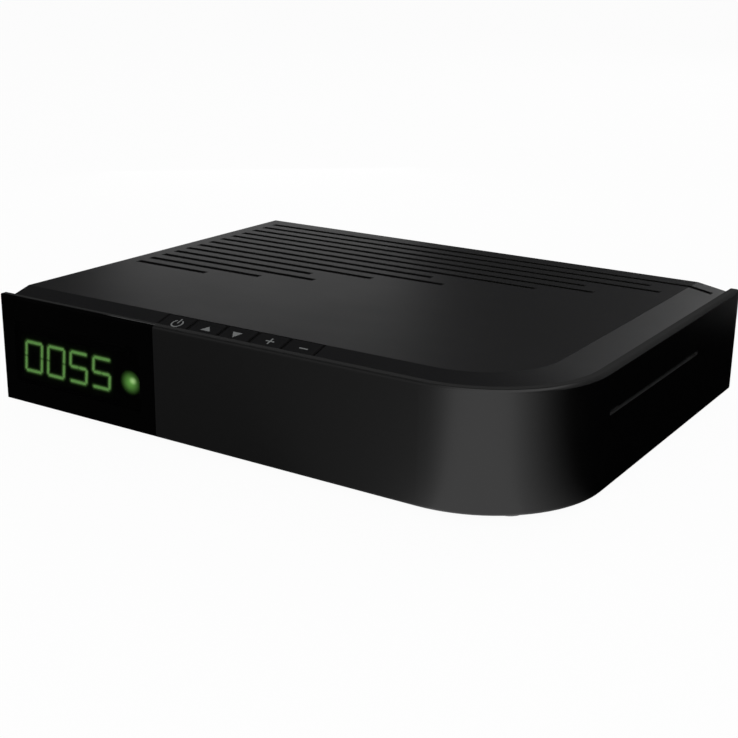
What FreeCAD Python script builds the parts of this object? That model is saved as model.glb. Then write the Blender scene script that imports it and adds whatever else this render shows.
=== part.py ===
"""Compact satellite television receiver with a wrap-round fascia and five top keys.

Millimetres. +X is right seen from the front, the front faces -Y and +Z is up.
The origin is the bottom centre of the whole part, on the surface it stands on.
Sizes are held in the sheet. PLACES names the planes and centres worked out from them.
"""
import FreeCAD, Part
import math
import os
import re

import Sketcher

Vector = FreeCAD.Vector
DOC = FreeCAD.newDocument("receiver")

SIZES = {
    # enclosure: the fascia sets the outline and the cover sits inside it
    "width": 200.0,
    "cover_depth": 147.5,
    "side_depth": 152.0,
    "fascia_height": 36.4,
    "fascia_wall": 3.0,
    "corner_radius": 38.5,
    "edge_round": 1.1,
    "fascia_gap": 0.2,
    "rim_drop": 0.2,
    "top_rise": 1.8,
    "crease_front": 9.6,
    "crease_side": 13.3,
    "crease_radius": 26.0,
    "crease_round": 1.2,
    "left_inset": 3.8,
    "wall": 2.0,
    "roof": 2.0,
    "split_height": 5.5,
    "lip_offset": 0.9,
    "lip_height": 2.0,
    "lip_gap": 0.2,
    "floor_lift": 0.8,
    "floor_sheet": 2.0,
    "tab_width": 6.0,
    "tab_height": 2.0,
    "tab_reach": 2.0,
    "tab_nose": 0.8,
    "tab_gap": 0.3,
    "tab_rise": 3.0,
    "post_diameter": 7.0,
    "post_gap": 0.3,
    "post_clear": 5.6,
    "case_screw": 12.0,
    "lug": 9.0,
    "beyond": 1.0,
    # feet
    "foot_height": 3.0,
    "foot_diameter": 13.0,
    "foot_bevel": 0.8,
    "foot_inset": 17.0,
    # top slots: ends measured in from the right face, rows from the rear edge
    "vent_width": 1.6,
    "vent_bevel": 0.5,
    "vent_inset": 5.5,
    "vent_back": 8.0,
    "vent_pitch": 6.8,
    "side_vent_width": 2.0,
    "side_vent_pitch": 5.0,
    "side_vent_height": 14.0,
    # window and what stands behind it
    "window_width": 67.0,
    "window_sheet": 1.5,
    "window_gap": 0.1,
    "module_share": 0.124,
    "lamp_share": 0.188,
    "module_margin": 1.4,
    "module_margin_up": 2.45,
    "module_depth": 7.0,
    "module_gap": 0.3,
    "display_lift": 0.55,
    "digit_pitch": 10.13,
    "digit_width": 8.3,
    "digit_height": 11.1,
    "digit_slant": 5.5,
    "segment_width": 1.1,
    "segment_rise": 0.2,
    "segment_split": 0.12,
    "lamp_drop": 1.25,
    "lamp_well": 9.4,
    "lamp_gap": 0.1,
    "lamp_sheet": 0.8,
    "led_diameter": 3.0,
    "sensor_size": 6.0,
    "sensor_gap": 0.8,
    "sensor_rim": 0.5,
    "front_board_gap": 0.3,
    "guide_gap": 0.5,
    # keys
    "keys_lap": 0.9,
    "key_pitch": 11.77,
    "key_gap": 0.4,
    "key_cap": 1.8,
    "key_skirt": 0.9,
    "key_foot": 0.4,
    "key_stem": 3.2,
    "key_travel": 0.5,
    "key_board_depth": 19.0,
    "key_screw_inset": 4.5,
    "key_screw_side": 6.0,
    "switch_size": 6.0,
    "switch_height": 3.4,
    "plunger_diameter": 3.2,
    "plunger_rise": 0.9,
    "plunger_depth": 0.5,
    "plunger_gap": 0.4,
    # card slot in the right side
    "card_middle": 77.0,
    "card_groove": 72.0,
    "card_up": 23.4,
    "card_width": 54.6,
    "card_height": 1.1,
    "groove_lip": 0.2,
    "groove_depth": 0.9,
    "reader_wall": 2.7,
    "reader_height": 5.0,
    "reader_length": 52.0,
    "reader_gap": 0.4,
    "card_margin": 4.0,
    # boards and what stands on them
    "board_sheet": 1.6,
    "board_clear": 1.8,
    "standoff": 4.6,
    "standoff_diameter": 6.0,
    "board_gap": 1.5,
    "board_corner": 25.0,
    "screw_hole": 2.4,
    "screw_core": 2.0,
    "screw_clear": 3.4,
    "head_diameter": 5.6,
    "head_height": 1.6,
    "processor_side": 27.0,
    "processor_height": 2.4,
    "sink_behind": 53.0,
    "sink_side": 34.0,
    "sink_base": 3.0,
    "sink_height": 12.6,
    "fin_width": 1.2,
    "chip_side": 12.0,
    "chip_height": 1.2,
    "inductor_side": 10.0,
    "inductor_height": 4.5,
    "tall_can": 10.0,
    "tall_can_height": 16.0,
    "short_can": 8.0,
    "short_can_height": 12.0,
    "header_share": 3.6,
    "header_width": 12.0,
    "header_depth": 4.0,
    "cable_sheet": 0.8,
    # rear panel and sockets
    "panel_inset": 1.5,
    "panel_sheet": 1.0,
    "panel_gap": 0.2,
    "cut_gap": 0.3,
    "rib_height": 1.6,
    "rear_vent_pitch": 4.2,
    "lnb_pitch": 20.0,
    "lnb_up": 6.6,
    "lnb_diameter": 9.5,
    "lnb_neck": 9.0,
    "lnb_bore": 2.2,
    "lnb_reach": 12.0,
    "lnb_collar": 11.5,
    "nut_width": 11.1,
    "nut_height": 2.2,
    "tuner_width": 44.0,
    "tuner_length": 48.0,
    "tuner_height": 12.6,
    "tuner_stand": 2.0,
    "lid_sheet": 0.5,
    "scart_width": 47.0,
    "scart_height": 13.6,
    "scart_depth": 14.0,
    "scart_wall": 0.8,
    "hdmi_width": 15.0,
    "hdmi_height": 6.0,
    "hdmi_depth": 11.0,
    "spdif_up": 8.0,
    "spdif_body": 11.0,
    "spdif_collar": 9.6,
    "spdif_diameter": 8.3,
    "spdif_bore": 3.3,
    "spdif_reach": 9.0,
    "usb_width": 13.2,
    "usb_height": 5.8,
    "usb_depth": 14.0,
    "shell_sheet": 0.4,
    "socket_reach": 0.8,
    "dc_width": 9.0,
    "dc_height": 11.0,
    "dc_depth": 13.0,
    "dc_bore": 6.3,
    "dc_pin": 2.1,
}

# right-hand ends of the thirteen top slots, front to rear, measured in from the right face
VENT_STOPS = [160.2, 141.7, 123.4, 129.4, 108.5, 84.0, 92.3, 55.7, 37.5, 43.6, 19.3, 25.3, 6.0]
VENT_NAMES = ["vent_stop_" + letter for letter in "abcdefghijklm"]
SIZES.update(zip(VENT_NAMES, VENT_STOPS))

PLACES = {
    "left_end": "-width/2",
    "right_face": "width/2",
    "front_face": "-(cover_depth - panel_inset + lnb_reach)/2",
    "cover_back": "front_face + cover_depth",
    "side_back": "front_face + side_depth",
    "panel_back": "cover_back - panel_inset",
    "panel_front": "panel_back - panel_sheet",
    "bottom_edge": "foot_height",
    "fascia_top": "bottom_edge + fascia_height",
    "rim": "fascia_top - rim_drop",
    "top_face": "rim + top_rise",
    "split": "bottom_edge + split_height",
    "lip_top": "split + lip_height",
    "floor_under": "bottom_edge + floor_lift",
    "floor_top": "floor_under + floor_sheet",
    "board_under": "floor_top + standoff",
    "board_top": "board_under + board_sheet",
    "body_left": "left_end + left_inset",
    "body_front": "front_face + fascia_wall + fascia_gap",
    "body_right": "right_face - fascia_wall - fascia_gap",
    "body_radius": "corner_radius - fascia_wall - fascia_gap",
    "inner_left": "body_left + wall",
    "inner_front": "body_front + wall",
    "inner_right": "body_right - wall",
    "inner_rim": "rim - roof",
    "inner_top": "top_face - roof",
    "crease_line": "front_face + crease_front",
    "crease_across": "right_face - crease_side",
    "wall_back": "front_face + fascia_wall",
    "tab_under": "lip_top + tab_rise",
    # display
    "window_right": "left_end + window_width",
    "window_back": "front_face + window_sheet",
    "module_width": "3*digit_pitch + digit_width + 2*module_margin",
    "module_height": "digit_height + 2*module_margin_up",
    "window_room": "window_right - inner_left - module_width - lamp_well",
    "module_left": "inner_left + module_share*window_room",
    "module_front": "window_back + module_gap + segment_rise",
    "display_x": "module_left + module_width/2",
    "display_z": "lip_top + lip_gap + display_lift + module_height/2",
    "lamp_x": "module_left + module_width + lamp_share*window_room + lamp_well/2",
    "lamp_z": "display_z - lamp_drop",
    "sensor_z": "lamp_z + lamp_well/2 + sensor_gap + sensor_size/2 + sensor_rim",
    "front_board_front": "module_front + module_depth + front_board_gap",
    "front_board_back": "front_board_front + board_sheet",
    "front_board_right": "keys_left - board_clear",
    "guide_top": "display_z - module_height/2 - guide_gap",
    # keys
    "keys_left": "window_right - keys_lap",
    "keys_right": "keys_left + 5*key_pitch",
    "key_front": "wall_back + key_gap",
    "key_back": "crease_line - key_gap",
    "key_middle": "(key_front + key_back)/2",
    "skirt_under": "inner_top - key_gap - key_skirt",
    "plunger_top": "skirt_under - key_foot",
    "switch_top": "plunger_top - plunger_rise",
    "key_board_top": "switch_top - switch_height",
    "key_board_under": "key_board_top - board_sheet",
    "key_board_right": "keys_right - key_gap",
    "key_screw_y": "key_front + key_board_depth - key_screw_inset",
    "header_x": "keys_left + header_share*key_pitch",
    # card reader
    "card_y": "front_face + card_middle",
    "card_z": "bottom_edge + card_up",
    "reader_width": "card_width + 2*reader_wall",
    "reader_near": "card_y - reader_width/2",
    "reader_far": "card_y + reader_width/2",
    "reader_right": "inner_right - reader_gap",
    "reader_left": "reader_right - reader_length",
    "reader_under": "card_z - reader_height/2",
    "card_board_under": "reader_under - board_sheet",
    "card_left": "reader_left - card_margin",
    # main board
    "board_left": "inner_left + board_gap",
    "board_right": "inner_right - board_gap",
    "board_low": "front_board_back + board_clear",
    "board_high": "panel_front - panel_gap",
    "sink_x": "(tuner_left + tuner_width + card_left)/2",
    "sink_y": "board_low + sink_behind",
    "sink_rear": "sink_y + sink_side/2",
    # sockets, spread evenly between the lugs of the rear panel
    "spread": "(inner_right - inner_left - 2*lug - tuner_width - scart_width - hdmi_width"
              " - spdif_body - usb_width - dc_width)/7",
    "tuner_left": "inner_left + lug + spread",
    "tuner_right": "tuner_left + tuner_width",
    "tuner_back": "panel_front - tuner_stand",
    "lnb_in_x": "tuner_left + tuner_width/2 - lnb_pitch/2",
    "lnb_out_x": "lnb_in_x + lnb_pitch",
    "lnb_z": "board_top + lnb_up",
    "scart_x": "tuner_right + spread + scart_width/2",
    "hdmi_x": "scart_x + scart_width/2 + spread + hdmi_width/2",
    "dc_x": "inner_right - lug - spread - dc_width/2",
    "usb_x": "dc_x - dc_width/2 - spread - usb_width/2",
    "spdif_x": "usb_x - usb_width/2 - spread - spdif_body/2",
    "spdif_z": "board_top + spdif_up",
    "dc_z": "board_top + dc_height/2",
    "rear_screw_z": "inner_rim - lug/2",
}

SHEET = DOC.addObject("Spreadsheet::Sheet", "Sizes")
for row, (alias, size) in enumerate(SIZES.items(), 1):
    SHEET.set(f"A{row}", alias)
    SHEET.set(f"B{row}", repr(size))
    SHEET.setAlias(f"B{row}", alias)
DOC.recompute()


# ---------------------------------------------------------------- expressions

def full(text):
    """The expression with every place spelled out and every size read from the sheet."""
    def spell(match):
        word = match.group(0)
        if word in PLACES:
            return "(" + full(PLACES[word]) + ")"
        if word in SIZES:
            return "Sizes." + word
        return word
    return re.sub(r"[a-z][a-z_]*", spell, str(text))


def value(text):
    """What an expression comes to at present, in millimetres."""
    return float(SHEET.evalExpression(full(text)))


def bind(thing, name, text):
    """Ties one property of a document object to an expression of the sheet."""
    thing.setExpression(name, full(text))


# ---------------------------------------------------------------- sketches

def attach(body, made, plane, level):
    """Lays an object on one of the body's origin planes, set off to a level of the part's own axes."""
    support = [face for face in body.Origin.OriginFeatures if face.Role == plane + "_Plane"]
    made.AttachmentSupport = [(support[0], "")]
    made.MapMode = "FlatFace"
    sign = "-" if plane == "XZ" else ""
    bind(made, "AttachmentOffset.Base.z", f"{sign}({level})")


def sketch(body, name, plane, level):
    """A sketch on one of the body's origin planes."""
    made = body.newObject("Sketcher::SketchObject", name)
    attach(body, made, plane, level)
    return made


def tie(made, links, held):
    """Adds plain constraints, and then others that are each held at an expression."""
    first = made.ConstraintCount + len(links)
    made.addConstraint(links + [Sketcher.Constraint(*terms, value(text)) for terms, text in held])
    for row, (terms, text) in enumerate(held, first):
        made.setExpression(f"Constraints[{row}]", full(text))


def point_at(element, point, place):
    """Terms that hold a point of a sketch at a pair of expressions."""
    return [(("DistanceX", -1, 1, element, point), place[0]),
            (("DistanceY", -1, 1, element, point), place[1])]


def add_line(made, start, end):
    """Adds a straight edge between two points and returns its number."""
    return made.addGeometry(Part.LineSegment(Vector(*start, 0), Vector(*end, 0)), False)


def add_arc(made, centre, radius, start, end):
    """Adds an arc that runs anticlockwise from one angle to another, in radians."""
    circle = Part.Circle(Vector(*centre, 0), Vector(0, 0, 1), radius)
    return made.addGeometry(Part.ArcOfCircle(circle, start, end), False)


def way(start, end):
    """Unit step from one point of a plane to another."""
    run = (end[0] - start[0], end[1] - start[1])
    size = math.hypot(*run)
    return (run[0] / size, run[1] / size)


def outline(made, corners):
    """A closed profile through its corners, each (a, b), or (a, b, radius) between square edges."""
    spots = [(value(corner[0]), value(corner[1])) for corner in corners]
    entries, leaves, arcs = [], [], []
    links, held = [], []
    for index, corner in enumerate(corners):
        spot = spots[index]
        if len(corner) < 3:
            entries.append(spot)
            leaves.append(spot)
            arcs.append(None)
            continue
        radius = value(corner[2])
        before = way(spots[index - 1], spot)
        after = way(spot, spots[(index + 1) % len(spots)])
        entry = (spot[0] - radius * before[0], spot[1] - radius * before[1])
        leave = (spot[0] + radius * after[0], spot[1] + radius * after[1])
        centre = (entry[0] + radius * after[0], entry[1] + radius * after[1])
        left_turn = before[0] * after[1] - before[1] * after[0] > 0
        ends = (entry, leave) if left_turn else (leave, entry)
        angles = [math.atan2(end[1] - centre[1], end[0] - centre[0]) for end in ends]
        if angles[1] < angles[0]:
            angles[1] += 2 * math.pi
        arc = add_arc(made, centre, radius, *angles)
        steps = (after[0] - before[0], after[1] - before[1])
        held += point_at(arc, 3, (f"{corner[0]} + {steps[0]:.0f}*({corner[2]})",
                                  f"{corner[1]} + {steps[1]:.0f}*({corner[2]})"))
        held.append((("Radius", arc), corner[2]))
        points = (1, 2) if left_turn else (2, 1)
        for point, end in zip(points, (entry, leave)):
            level = "Horizontal" if abs(end[1] - centre[1]) < abs(end[0] - centre[0]) else "Vertical"
            links.append(Sketcher.Constraint(level, arc, 3, arc, point))
        entries.append(entry)
        leaves.append(leave)
        arcs.append((arc, points))
    lines = [add_line(made, leaves[index], entries[(index + 1) % len(spots)])
             for index in range(len(spots))]
    for index, corner in enumerate(corners):
        if arcs[index] is None:
            links.append(Sketcher.Constraint("Coincident", lines[index - 1], 2, lines[index], 1))
            held += point_at(lines[index], 1, corner)
            continue
        arc, points = arcs[index]
        links.append(Sketcher.Constraint("Coincident", lines[index - 1], 2, arc, points[0]))
        links.append(Sketcher.Constraint("Coincident", arc, points[1], lines[index], 1))
    tie(made, links, held)


def rectangle(made, across, up):
    """A square-cornered outline between two pairs of expressions."""
    outline(made, [(across[0], up[0]), (across[1], up[0]), (across[1], up[1]), (across[0], up[1])])


def long_slot(made, across, along, width, bevel):
    """A long slot whose ends are bevelled at the corners: a pair of ends and its middle line."""
    left, right = across
    near, far = f"{along} - {width}/2", f"{along} + {width}/2"
    outline(made, [
        (f"{left} + {bevel}", near),
        (f"{right} - {bevel}", near),
        (right, f"{near} + {bevel}"),
        (right, f"{far} - {bevel}"),
        (f"{right} - {bevel}", far),
        (f"{left} + {bevel}", far),
        (left, f"{far} - {bevel}"),
        (left, f"{near} + {bevel}"),
    ])


def disc(made, centre, diameter):
    """A circle of a given diameter."""
    circle = Part.Circle(Vector(value(centre[0]), value(centre[1]), 0), Vector(0, 0, 1),
                         value(diameter) / 2)
    element = made.addGeometry(circle, False)
    tie(made, [], point_at(element, 3, centre) + [(("Diameter", element), diameter)])


# ---------------------------------------------------------------- features

def new_body(name):
    """An empty PartDesign body."""
    return DOC.addObject("PartDesign::Body", name)


def feature(body, kind, made, length, back):
    """A pad or pocket of a sketch; back turns it round."""
    work = body.newObject("PartDesign::" + kind, made.Name + "_" + kind.lower())
    work.Profile = made
    bind(work, "Length", length)
    work.Reversed = back
    return work


def grow(body, made, length, back=False):
    """Pads a sketch along its plane's normal: +Z, -Y or +X."""
    return feature(body, "Pad", made, length, back)


def carve(body, made, length, back=False):
    """Pockets a sketch against its plane's normal: -Z, +Y or -X."""
    return feature(body, "Pocket", made, length, back)


def loft(body, kind, low, high):
    """A ruled loft between two outlines that have the same run of edges."""
    work = body.newObject("PartDesign::" + kind, low.Name + "_loft")
    work.Profile = low
    work.Sections = [high]
    work.Ruled = True
    return work


def round_edges(body, name, kind, size, wanted):
    """Rounds or bevels the edges of the body's last feature that the test picks."""
    DOC.recompute()
    base = body.Tip
    edges = [f"Edge{number}" for number, edge in enumerate(base.Shape.Edges, 1) if wanted(edge)]
    work = body.newObject("PartDesign::" + kind, name)
    work.Base = (base, edges)
    bind(work, "Radius" if kind == "Fillet" else "Size", size)
    return work


# ---------------------------------------------------------------- plain solids

def block(name, across, along, up):
    """A box between three pairs of expressions."""
    made = DOC.addObject("Part::Box", name)
    for axis, side, (low, high) in zip("xyz", ("Length", "Width", "Height"), (across, along, up)):
        bind(made, "Placement.Base." + axis, low)
        bind(made, side, f"({high}) - ({low})")
    return made


TURNS = {
    "X": FreeCAD.Rotation(Vector(0, 1, 0), 90),
    "Y": FreeCAD.Rotation(Vector(1, 0, 0), -90),
    "Z": FreeCAD.Rotation(),
}


def rod(name, axis, start, length, diameter):
    """A cylinder that starts at a point and runs up one axis."""
    made = DOC.addObject("Part::Cylinder", name)
    made.Placement = FreeCAD.Placement(Vector(), TURNS[axis])
    for letter, text in zip("xyz", start):
        bind(made, "Placement.Base." + letter, text)
    bind(made, "Height", length)
    bind(made, "Radius", f"({diameter})/2")
    return made


def prism(name, axis, start, length, diameter, sides):
    """An equal-sided bar that starts at a point and runs up one axis; its corners lie on a circle."""
    made = DOC.addObject("Part::Prism", name)
    made.Placement = FreeCAD.Placement(Vector(), TURNS[axis])
    made.Polygon = sides
    for letter, text in zip("xyz", start):
        bind(made, "Placement.Base." + letter, text)
    bind(made, "Height", length)
    bind(made, "Circumradius", f"({diameter})/2")
    return made


def prisms(name, axis, places, level, length, diameter, sides):
    """Bars at several places of a plane: (across, along) for upright ones, (across, up) along Y."""
    starts = [(a, b, level) if axis == "Z" else (a, level, b) for a, b in places]
    return [prism(f"{name}_{number}", axis, start, length, diameter, sides)
            for number, start in enumerate(starts)]


def join(name, solids):
    """One solid out of several that touch or overlap."""
    made = DOC.addObject("Part::MultiFuse", name)
    made.Shapes = solids
    made.Refine = True
    return made


def take(name, base, tools):
    """A solid with others cut out of it."""
    made = DOC.addObject("Part::Cut", name)
    made.Base = base
    made.Tool = tools[0] if len(tools) == 1 else join(name + "_tools", tools)
    return made


def set_of(name, solids):
    """Separate solids that share one node."""
    made = DOC.addObject("Part::Compound", name)
    made.Links = solids
    return made


NODES = []


def node(made, label):
    """Names a finished sub-part."""
    made.Label = label
    NODES.append(made)
    return made


# ---------------------------------------------------------------- enclosure

POSTS = [
    ("inner_left + post_diameter/2 + post_gap", "front_board_back + post_clear + post_diameter/2"),
    ("inner_left + post_diameter/2 + post_gap", "panel_front - lug + 2"),
    ("right_face - corner_radius + 3.5", "front_board_back + post_clear + post_diameter/2"),
    ("inner_right - post_diameter/2 - post_gap", "panel_front - lug + 2"),
]
REAR_SCREWS = [("inner_left + lug/2", "rear_screw_z"), ("inner_right - lug/2", "rear_screw_z")]
TABS_FRONT = ["keys_left + 16", "keys_left + 52", "right_face - corner_radius - 9"]
TABS_SIDE = ["front_face + corner_radius + 17.5", "panel_front - 21"]
FEET = [(across, along)
        for across in ("body_left + foot_inset", "body_right - foot_inset")
        for along in ("body_front + foot_inset", "cover_back - foot_inset - 5")]
BOARD_SCREWS = [
    ("sink_x - 32", "board_low + 12.5"),
    ("board_left + 5", "board_low + 60"),
    ("card_left - 6", "card_y + 12"),
    ("board_right - 5", "reader_near - 5"),
    ("tuner_right + 5", "board_high - 22"),
    ("board_right - 5", "reader_far + 7"),
]
KEY_SCREWS = [(across, "key_screw_y")
              for across in ("keys_left + key_screw_side", "(keys_left + key_board_right)/2",
                             "key_board_right - key_screw_side")]


def plan(made, inset, back):
    """The enclosure seen from above, set in from its outer face."""
    outline(made, [
        (f"body_left + {inset}", f"body_front + {inset}"),
        (f"body_right - {inset}", f"body_front + {inset}", f"body_radius - {inset}"),
        (f"body_right - {inset}", back),
        (f"body_left + {inset}", back),
    ])


def crease(made, left, back):
    """The edge of the flat top seen from above."""
    outline(made, [
        (left, "crease_line"),
        ("crease_across", "crease_line", "crease_radius"),
        ("crease_across", back),
        (left, back),
    ])


def cover_shell(body):
    """Walls and roof: an outer block with sloped margins, hollowed from below."""
    walls = sketch(body, "cover_walls", "XY", "split")
    plan(walls, "0", "cover_back")
    grow(body, walls, "rim - split")
    foot = sketch(body, "slope_foot", "XY", "rim")
    plan(foot, "0", "cover_back")
    head = sketch(body, "slope_head", "XY", "top_face")
    crease(head, "body_left", "cover_back")
    loft(body, "AdditiveLoft", foot, head)
    top, line, across = value("top_face"), value("crease_line"), value("crease_across")

    def on_crease(edge):
        box = edge.BoundBox
        flat = abs(box.ZMin - top) < 0.01 and box.ZLength < 0.01
        front = abs(box.YMax - line) < 0.05
        right = abs(box.XMin - across) < 0.05
        bend = len(edge.Vertexes) == 2 and box.XLength > 1 and box.YLength > 1
        return flat and (front or right or bend)

    round_edges(body, "crease_round", "Fillet", "crease_round", on_crease)

    hollow = sketch(body, "cover_hollow", "XY", "split")
    plan(hollow, "wall", "cover_back + beyond")
    carve(body, hollow, "inner_rim - split", True)
    under = sketch(body, "hollow_foot", "XY", "inner_rim")
    plan(under, "wall", "cover_back")
    crown = sketch(body, "hollow_head", "XY", "inner_top")
    crease(crown, "inner_left", "cover_back")
    loft(body, "SubtractiveLoft", under, crown)
    rebate = sketch(body, "lip_rebate", "XY", "split")
    plan(rebate, "lip_offset", "cover_back + beyond")
    carve(body, rebate, "lip_height + lip_gap", True)


def with_bosses(body):
    """Adds posts for the case screws, lugs for the rear panel and hangers for the key board."""
    root = "inner_top + roof/4"
    foot = "floor_top + post_gap"
    sides = ("panel_front - lug", "panel_front")
    solids = prisms("post", "Z", POSTS, foot, f"{root} - ({foot})", "post_diameter", 12)
    solids += prisms("hanger", "Z", KEY_SCREWS, "key_board_top", f"{root} - key_board_top",
                     "standoff_diameter", 8)
    solids.append(block("left_lug", ("inner_left - wall/2", "inner_left + lug"), sides,
                        ("inner_rim - lug", root)))
    solids.append(block("right_lug", ("inner_right - lug", "inner_right + wall/2"), sides,
                        ("inner_rim - lug", "inner_rim + roof/2")))
    whole = join("CoverBlank", [body] + solids)

    holes = prisms("post_hole", "Z", POSTS, foot + " - beyond", "case_screw + beyond", "screw_hole", 8)
    holes += prisms("hanger_hole", "Z", KEY_SCREWS, "key_board_top - beyond", "5 + beyond",
                    "screw_hole", 8)
    holes += prisms("lug_hole", "Y", REAR_SCREWS, "panel_front - lug + 1.5", "lug", "screw_hole", 8)
    return whole, holes


def top_slots():
    """Thirteen long slots of different lengths, as solids to cut with."""
    body = new_body("TopSlots")
    body.AllowCompound = True
    for start in range(0, len(VENT_NAMES), 5):
        slots = sketch(body, f"top_slots_{start}", "XY", "inner_rim - beyond")
        for row in range(start, min(start + 5, len(VENT_NAMES))):
            level = f"cover_back - vent_back - {len(VENT_NAMES) - 1 - row}*vent_pitch"
            long_slot(slots, ("body_left + vent_inset", f"right_face - {VENT_NAMES[row]}"), level,
                 "vent_width", "vent_bevel")
        grow(body, slots, "top_face - inner_rim + 2*beyond")
    return body


def cover_openings(body):
    """Side louvres, key bay, and the mouths behind the fascia."""
    louvres = sketch(body, "side_louvres", "YZ", "inner_left + beyond")
    for row in range(14):
        near = f"board_low + 28 + {row}*side_vent_pitch"
        rectangle(louvres, (near, f"{near} + side_vent_width"),
                  ("tab_under + 4", "tab_under + 4 + side_vent_height"))
    carve(body, louvres, "wall + 2*beyond")

    bay = sketch(body, "key_bay", "XY", "top_face")
    rectangle(bay, ("keys_left - key_gap", "keys_right"), ("body_front - beyond", "crease_line"))
    carve(body, bay, "top_face - key_board_under + beyond")
    mouth = sketch(body, "display_mouth", "XZ", "body_front - beyond")
    rectangle(mouth, ("inner_left + 1", "keys_left - key_gap - 1"), ("lip_top + lip_gap", "inner_rim - 1"))
    carve(body, mouth, "wall + 2*beyond")
    gate = sketch(body, "card_gate", "YZ", "body_right + beyond")
    rectangle(gate, ("reader_near - reader_gap", "reader_far + reader_gap"),
              ("card_board_under - reader_gap", "card_z + reader_height/2 + reader_gap"))
    carve(body, gate, "wall + 2*beyond")
    tab_room = "(tab_width/2 + tab_gap)"
    levels = ("tab_under - tab_gap", "tab_under + tab_height + tab_gap")
    front_tabs = sketch(body, "front_tab_slots", "XZ", "body_front - beyond")
    for across in TABS_FRONT:
        rectangle(front_tabs, (f"{across} - {tab_room}", f"{across} + {tab_room}"), levels)
    carve(body, front_tabs, "wall + 2*beyond")
    side_tabs = sketch(body, "side_tab_slots", "YZ", "body_right + beyond")
    for along in TABS_SIDE:
        rectangle(side_tabs, (f"{along} - {tab_room}", f"{along} + {tab_room}"), levels)
    carve(body, side_tabs, "wall + 2*beyond")


def top_cover():
    """Moulded shell: flat top, sloped front and right margins, slots and a bay for the keys."""
    body = new_body("TopCover")
    cover_shell(body)
    cover_openings(body)
    whole, holes = with_bosses(body)
    node(take("CoverDone", whole, holes + [top_slots()]), "top_cover")


def base_tray():
    """Moulded floor with low walls, a lip that enters the cover, stand-offs and vents."""
    body = new_body("BaseTray")
    floor = sketch(body, "tray_floor", "XY", "floor_under")
    plan(floor, "0", "cover_back")
    grow(body, floor, "split - floor_under")
    lip = sketch(body, "tray_lip", "XY", "split")
    plan(lip, "(lip_offset + lip_gap)", "cover_back")
    grow(body, lip, "lip_height")
    hollow = sketch(body, "tray_hollow", "XY", "lip_top")
    plan(hollow, "wall", "cover_back + beyond")
    carve(body, hollow, "lip_top - floor_top")

    guides = sketch(body, "guide_blocks", "XY", "floor_top")
    for across in ("inner_left + 8", "front_board_right - 8"):
        rectangle(guides, (f"{across} - 2.5", f"{across} + 2.5"),
                  ("front_board_front - 2", "front_board_back + 2"))
    grow(body, guides, "guide_top - floor_top")
    grooves = sketch(body, "guide_grooves", "XY", "guide_top")
    for across in ("inner_left + 8", "front_board_right - 8"):
        rectangle(grooves, (f"{across} - 3", f"{across} + 3"),
                  ("front_board_front - lip_gap", "front_board_back + lip_gap"))
    carve(body, grooves, "guide_top - floor_top - 2")
    ribs = sketch(body, "panel_ribs", "XY", "floor_top")
    for low, high in (("panel_back", "cover_back"), ("panel_front - 2", "panel_front - 0.8")):
        rectangle(ribs, ("inner_left - wall/2", "inner_right + wall/2"), (low, high))
    grow(body, ribs, "rib_height")

    vents = sketch(body, "floor_vents", "XY", "floor_top")
    for row in range(8):
        near = f"sink_y - 21 + {row}*6"
        rectangle(vents, ("sink_x - 22", "sink_x + 22"), (near, f"{near} + 2"))
    carve(body, vents, "floor_sheet + beyond")

    seat = "floor_top - floor_sheet/2"
    stands = prisms("stand_off", "Z", BOARD_SCREWS, seat, "standoff + floor_sheet/2", "standoff_diameter", 8)
    holes = prisms("stand_off_hole", "Z", BOARD_SCREWS, seat, "standoff + floor_sheet/2 + beyond",
                   "screw_hole", 8)
    holes += prisms("case_hole", "Z", POSTS, seat, "floor_sheet + beyond", "screw_clear", 8)
    holes += prisms("case_sink", "Z", POSTS, "floor_under - beyond", "floor_sheet/2 + beyond",
                    "head_diameter + 1", 12)
    node(take("TrayDone", join("TrayBlank", [body] + stands), holes), "base_tray")


def fascia_tabs(body):
    """Snap tabs behind the fascia, each with a nose that hooks behind the cover's wall."""
    reach = "fascia_gap + wall + tab_reach"
    levels = ("tab_under", "tab_under + tab_height")
    front = sketch(body, "front_tabs", "XZ", "wall_back")
    for across in TABS_FRONT:
        rectangle(front, (f"{across} - tab_width/2", f"{across} + tab_width/2"), levels)
    grow(body, front, reach, True)
    side = sketch(body, "side_tabs", "YZ", "right_face - fascia_wall")
    for along in TABS_SIDE:
        rectangle(side, (f"{along} - tab_width/2", f"{along} + tab_width/2"), levels)
    grow(body, side, reach, True)
    top = "tab_under + tab_height"
    for number, across in enumerate(TABS_FRONT):
        nose = sketch(body, f"front_nose_{number}", "YZ", f"{across} - tab_width/2")
        near, far = "inner_front + lip_gap", f"wall_back + {reach}"
        outline(nose, [(near, f"{top} - tab_height/2"), (far, f"{top} - tab_height/2"), (far, top),
                       (near, f"{top} + tab_nose")])
        grow(body, nose, "tab_width")
    for number, along in enumerate(TABS_SIDE):
        nose = sketch(body, f"side_nose_{number}", "XZ", f"{along} + tab_width/2")
        near, far = "inner_right - lip_gap", f"right_face - fascia_wall - ({reach})"
        outline(nose, [(near, f"{top} - tab_height/2"), (near, f"{top} + tab_nose"), (far, top),
                       (far, f"{top} - tab_height/2")])
        grow(body, nose, "tab_width")


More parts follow.
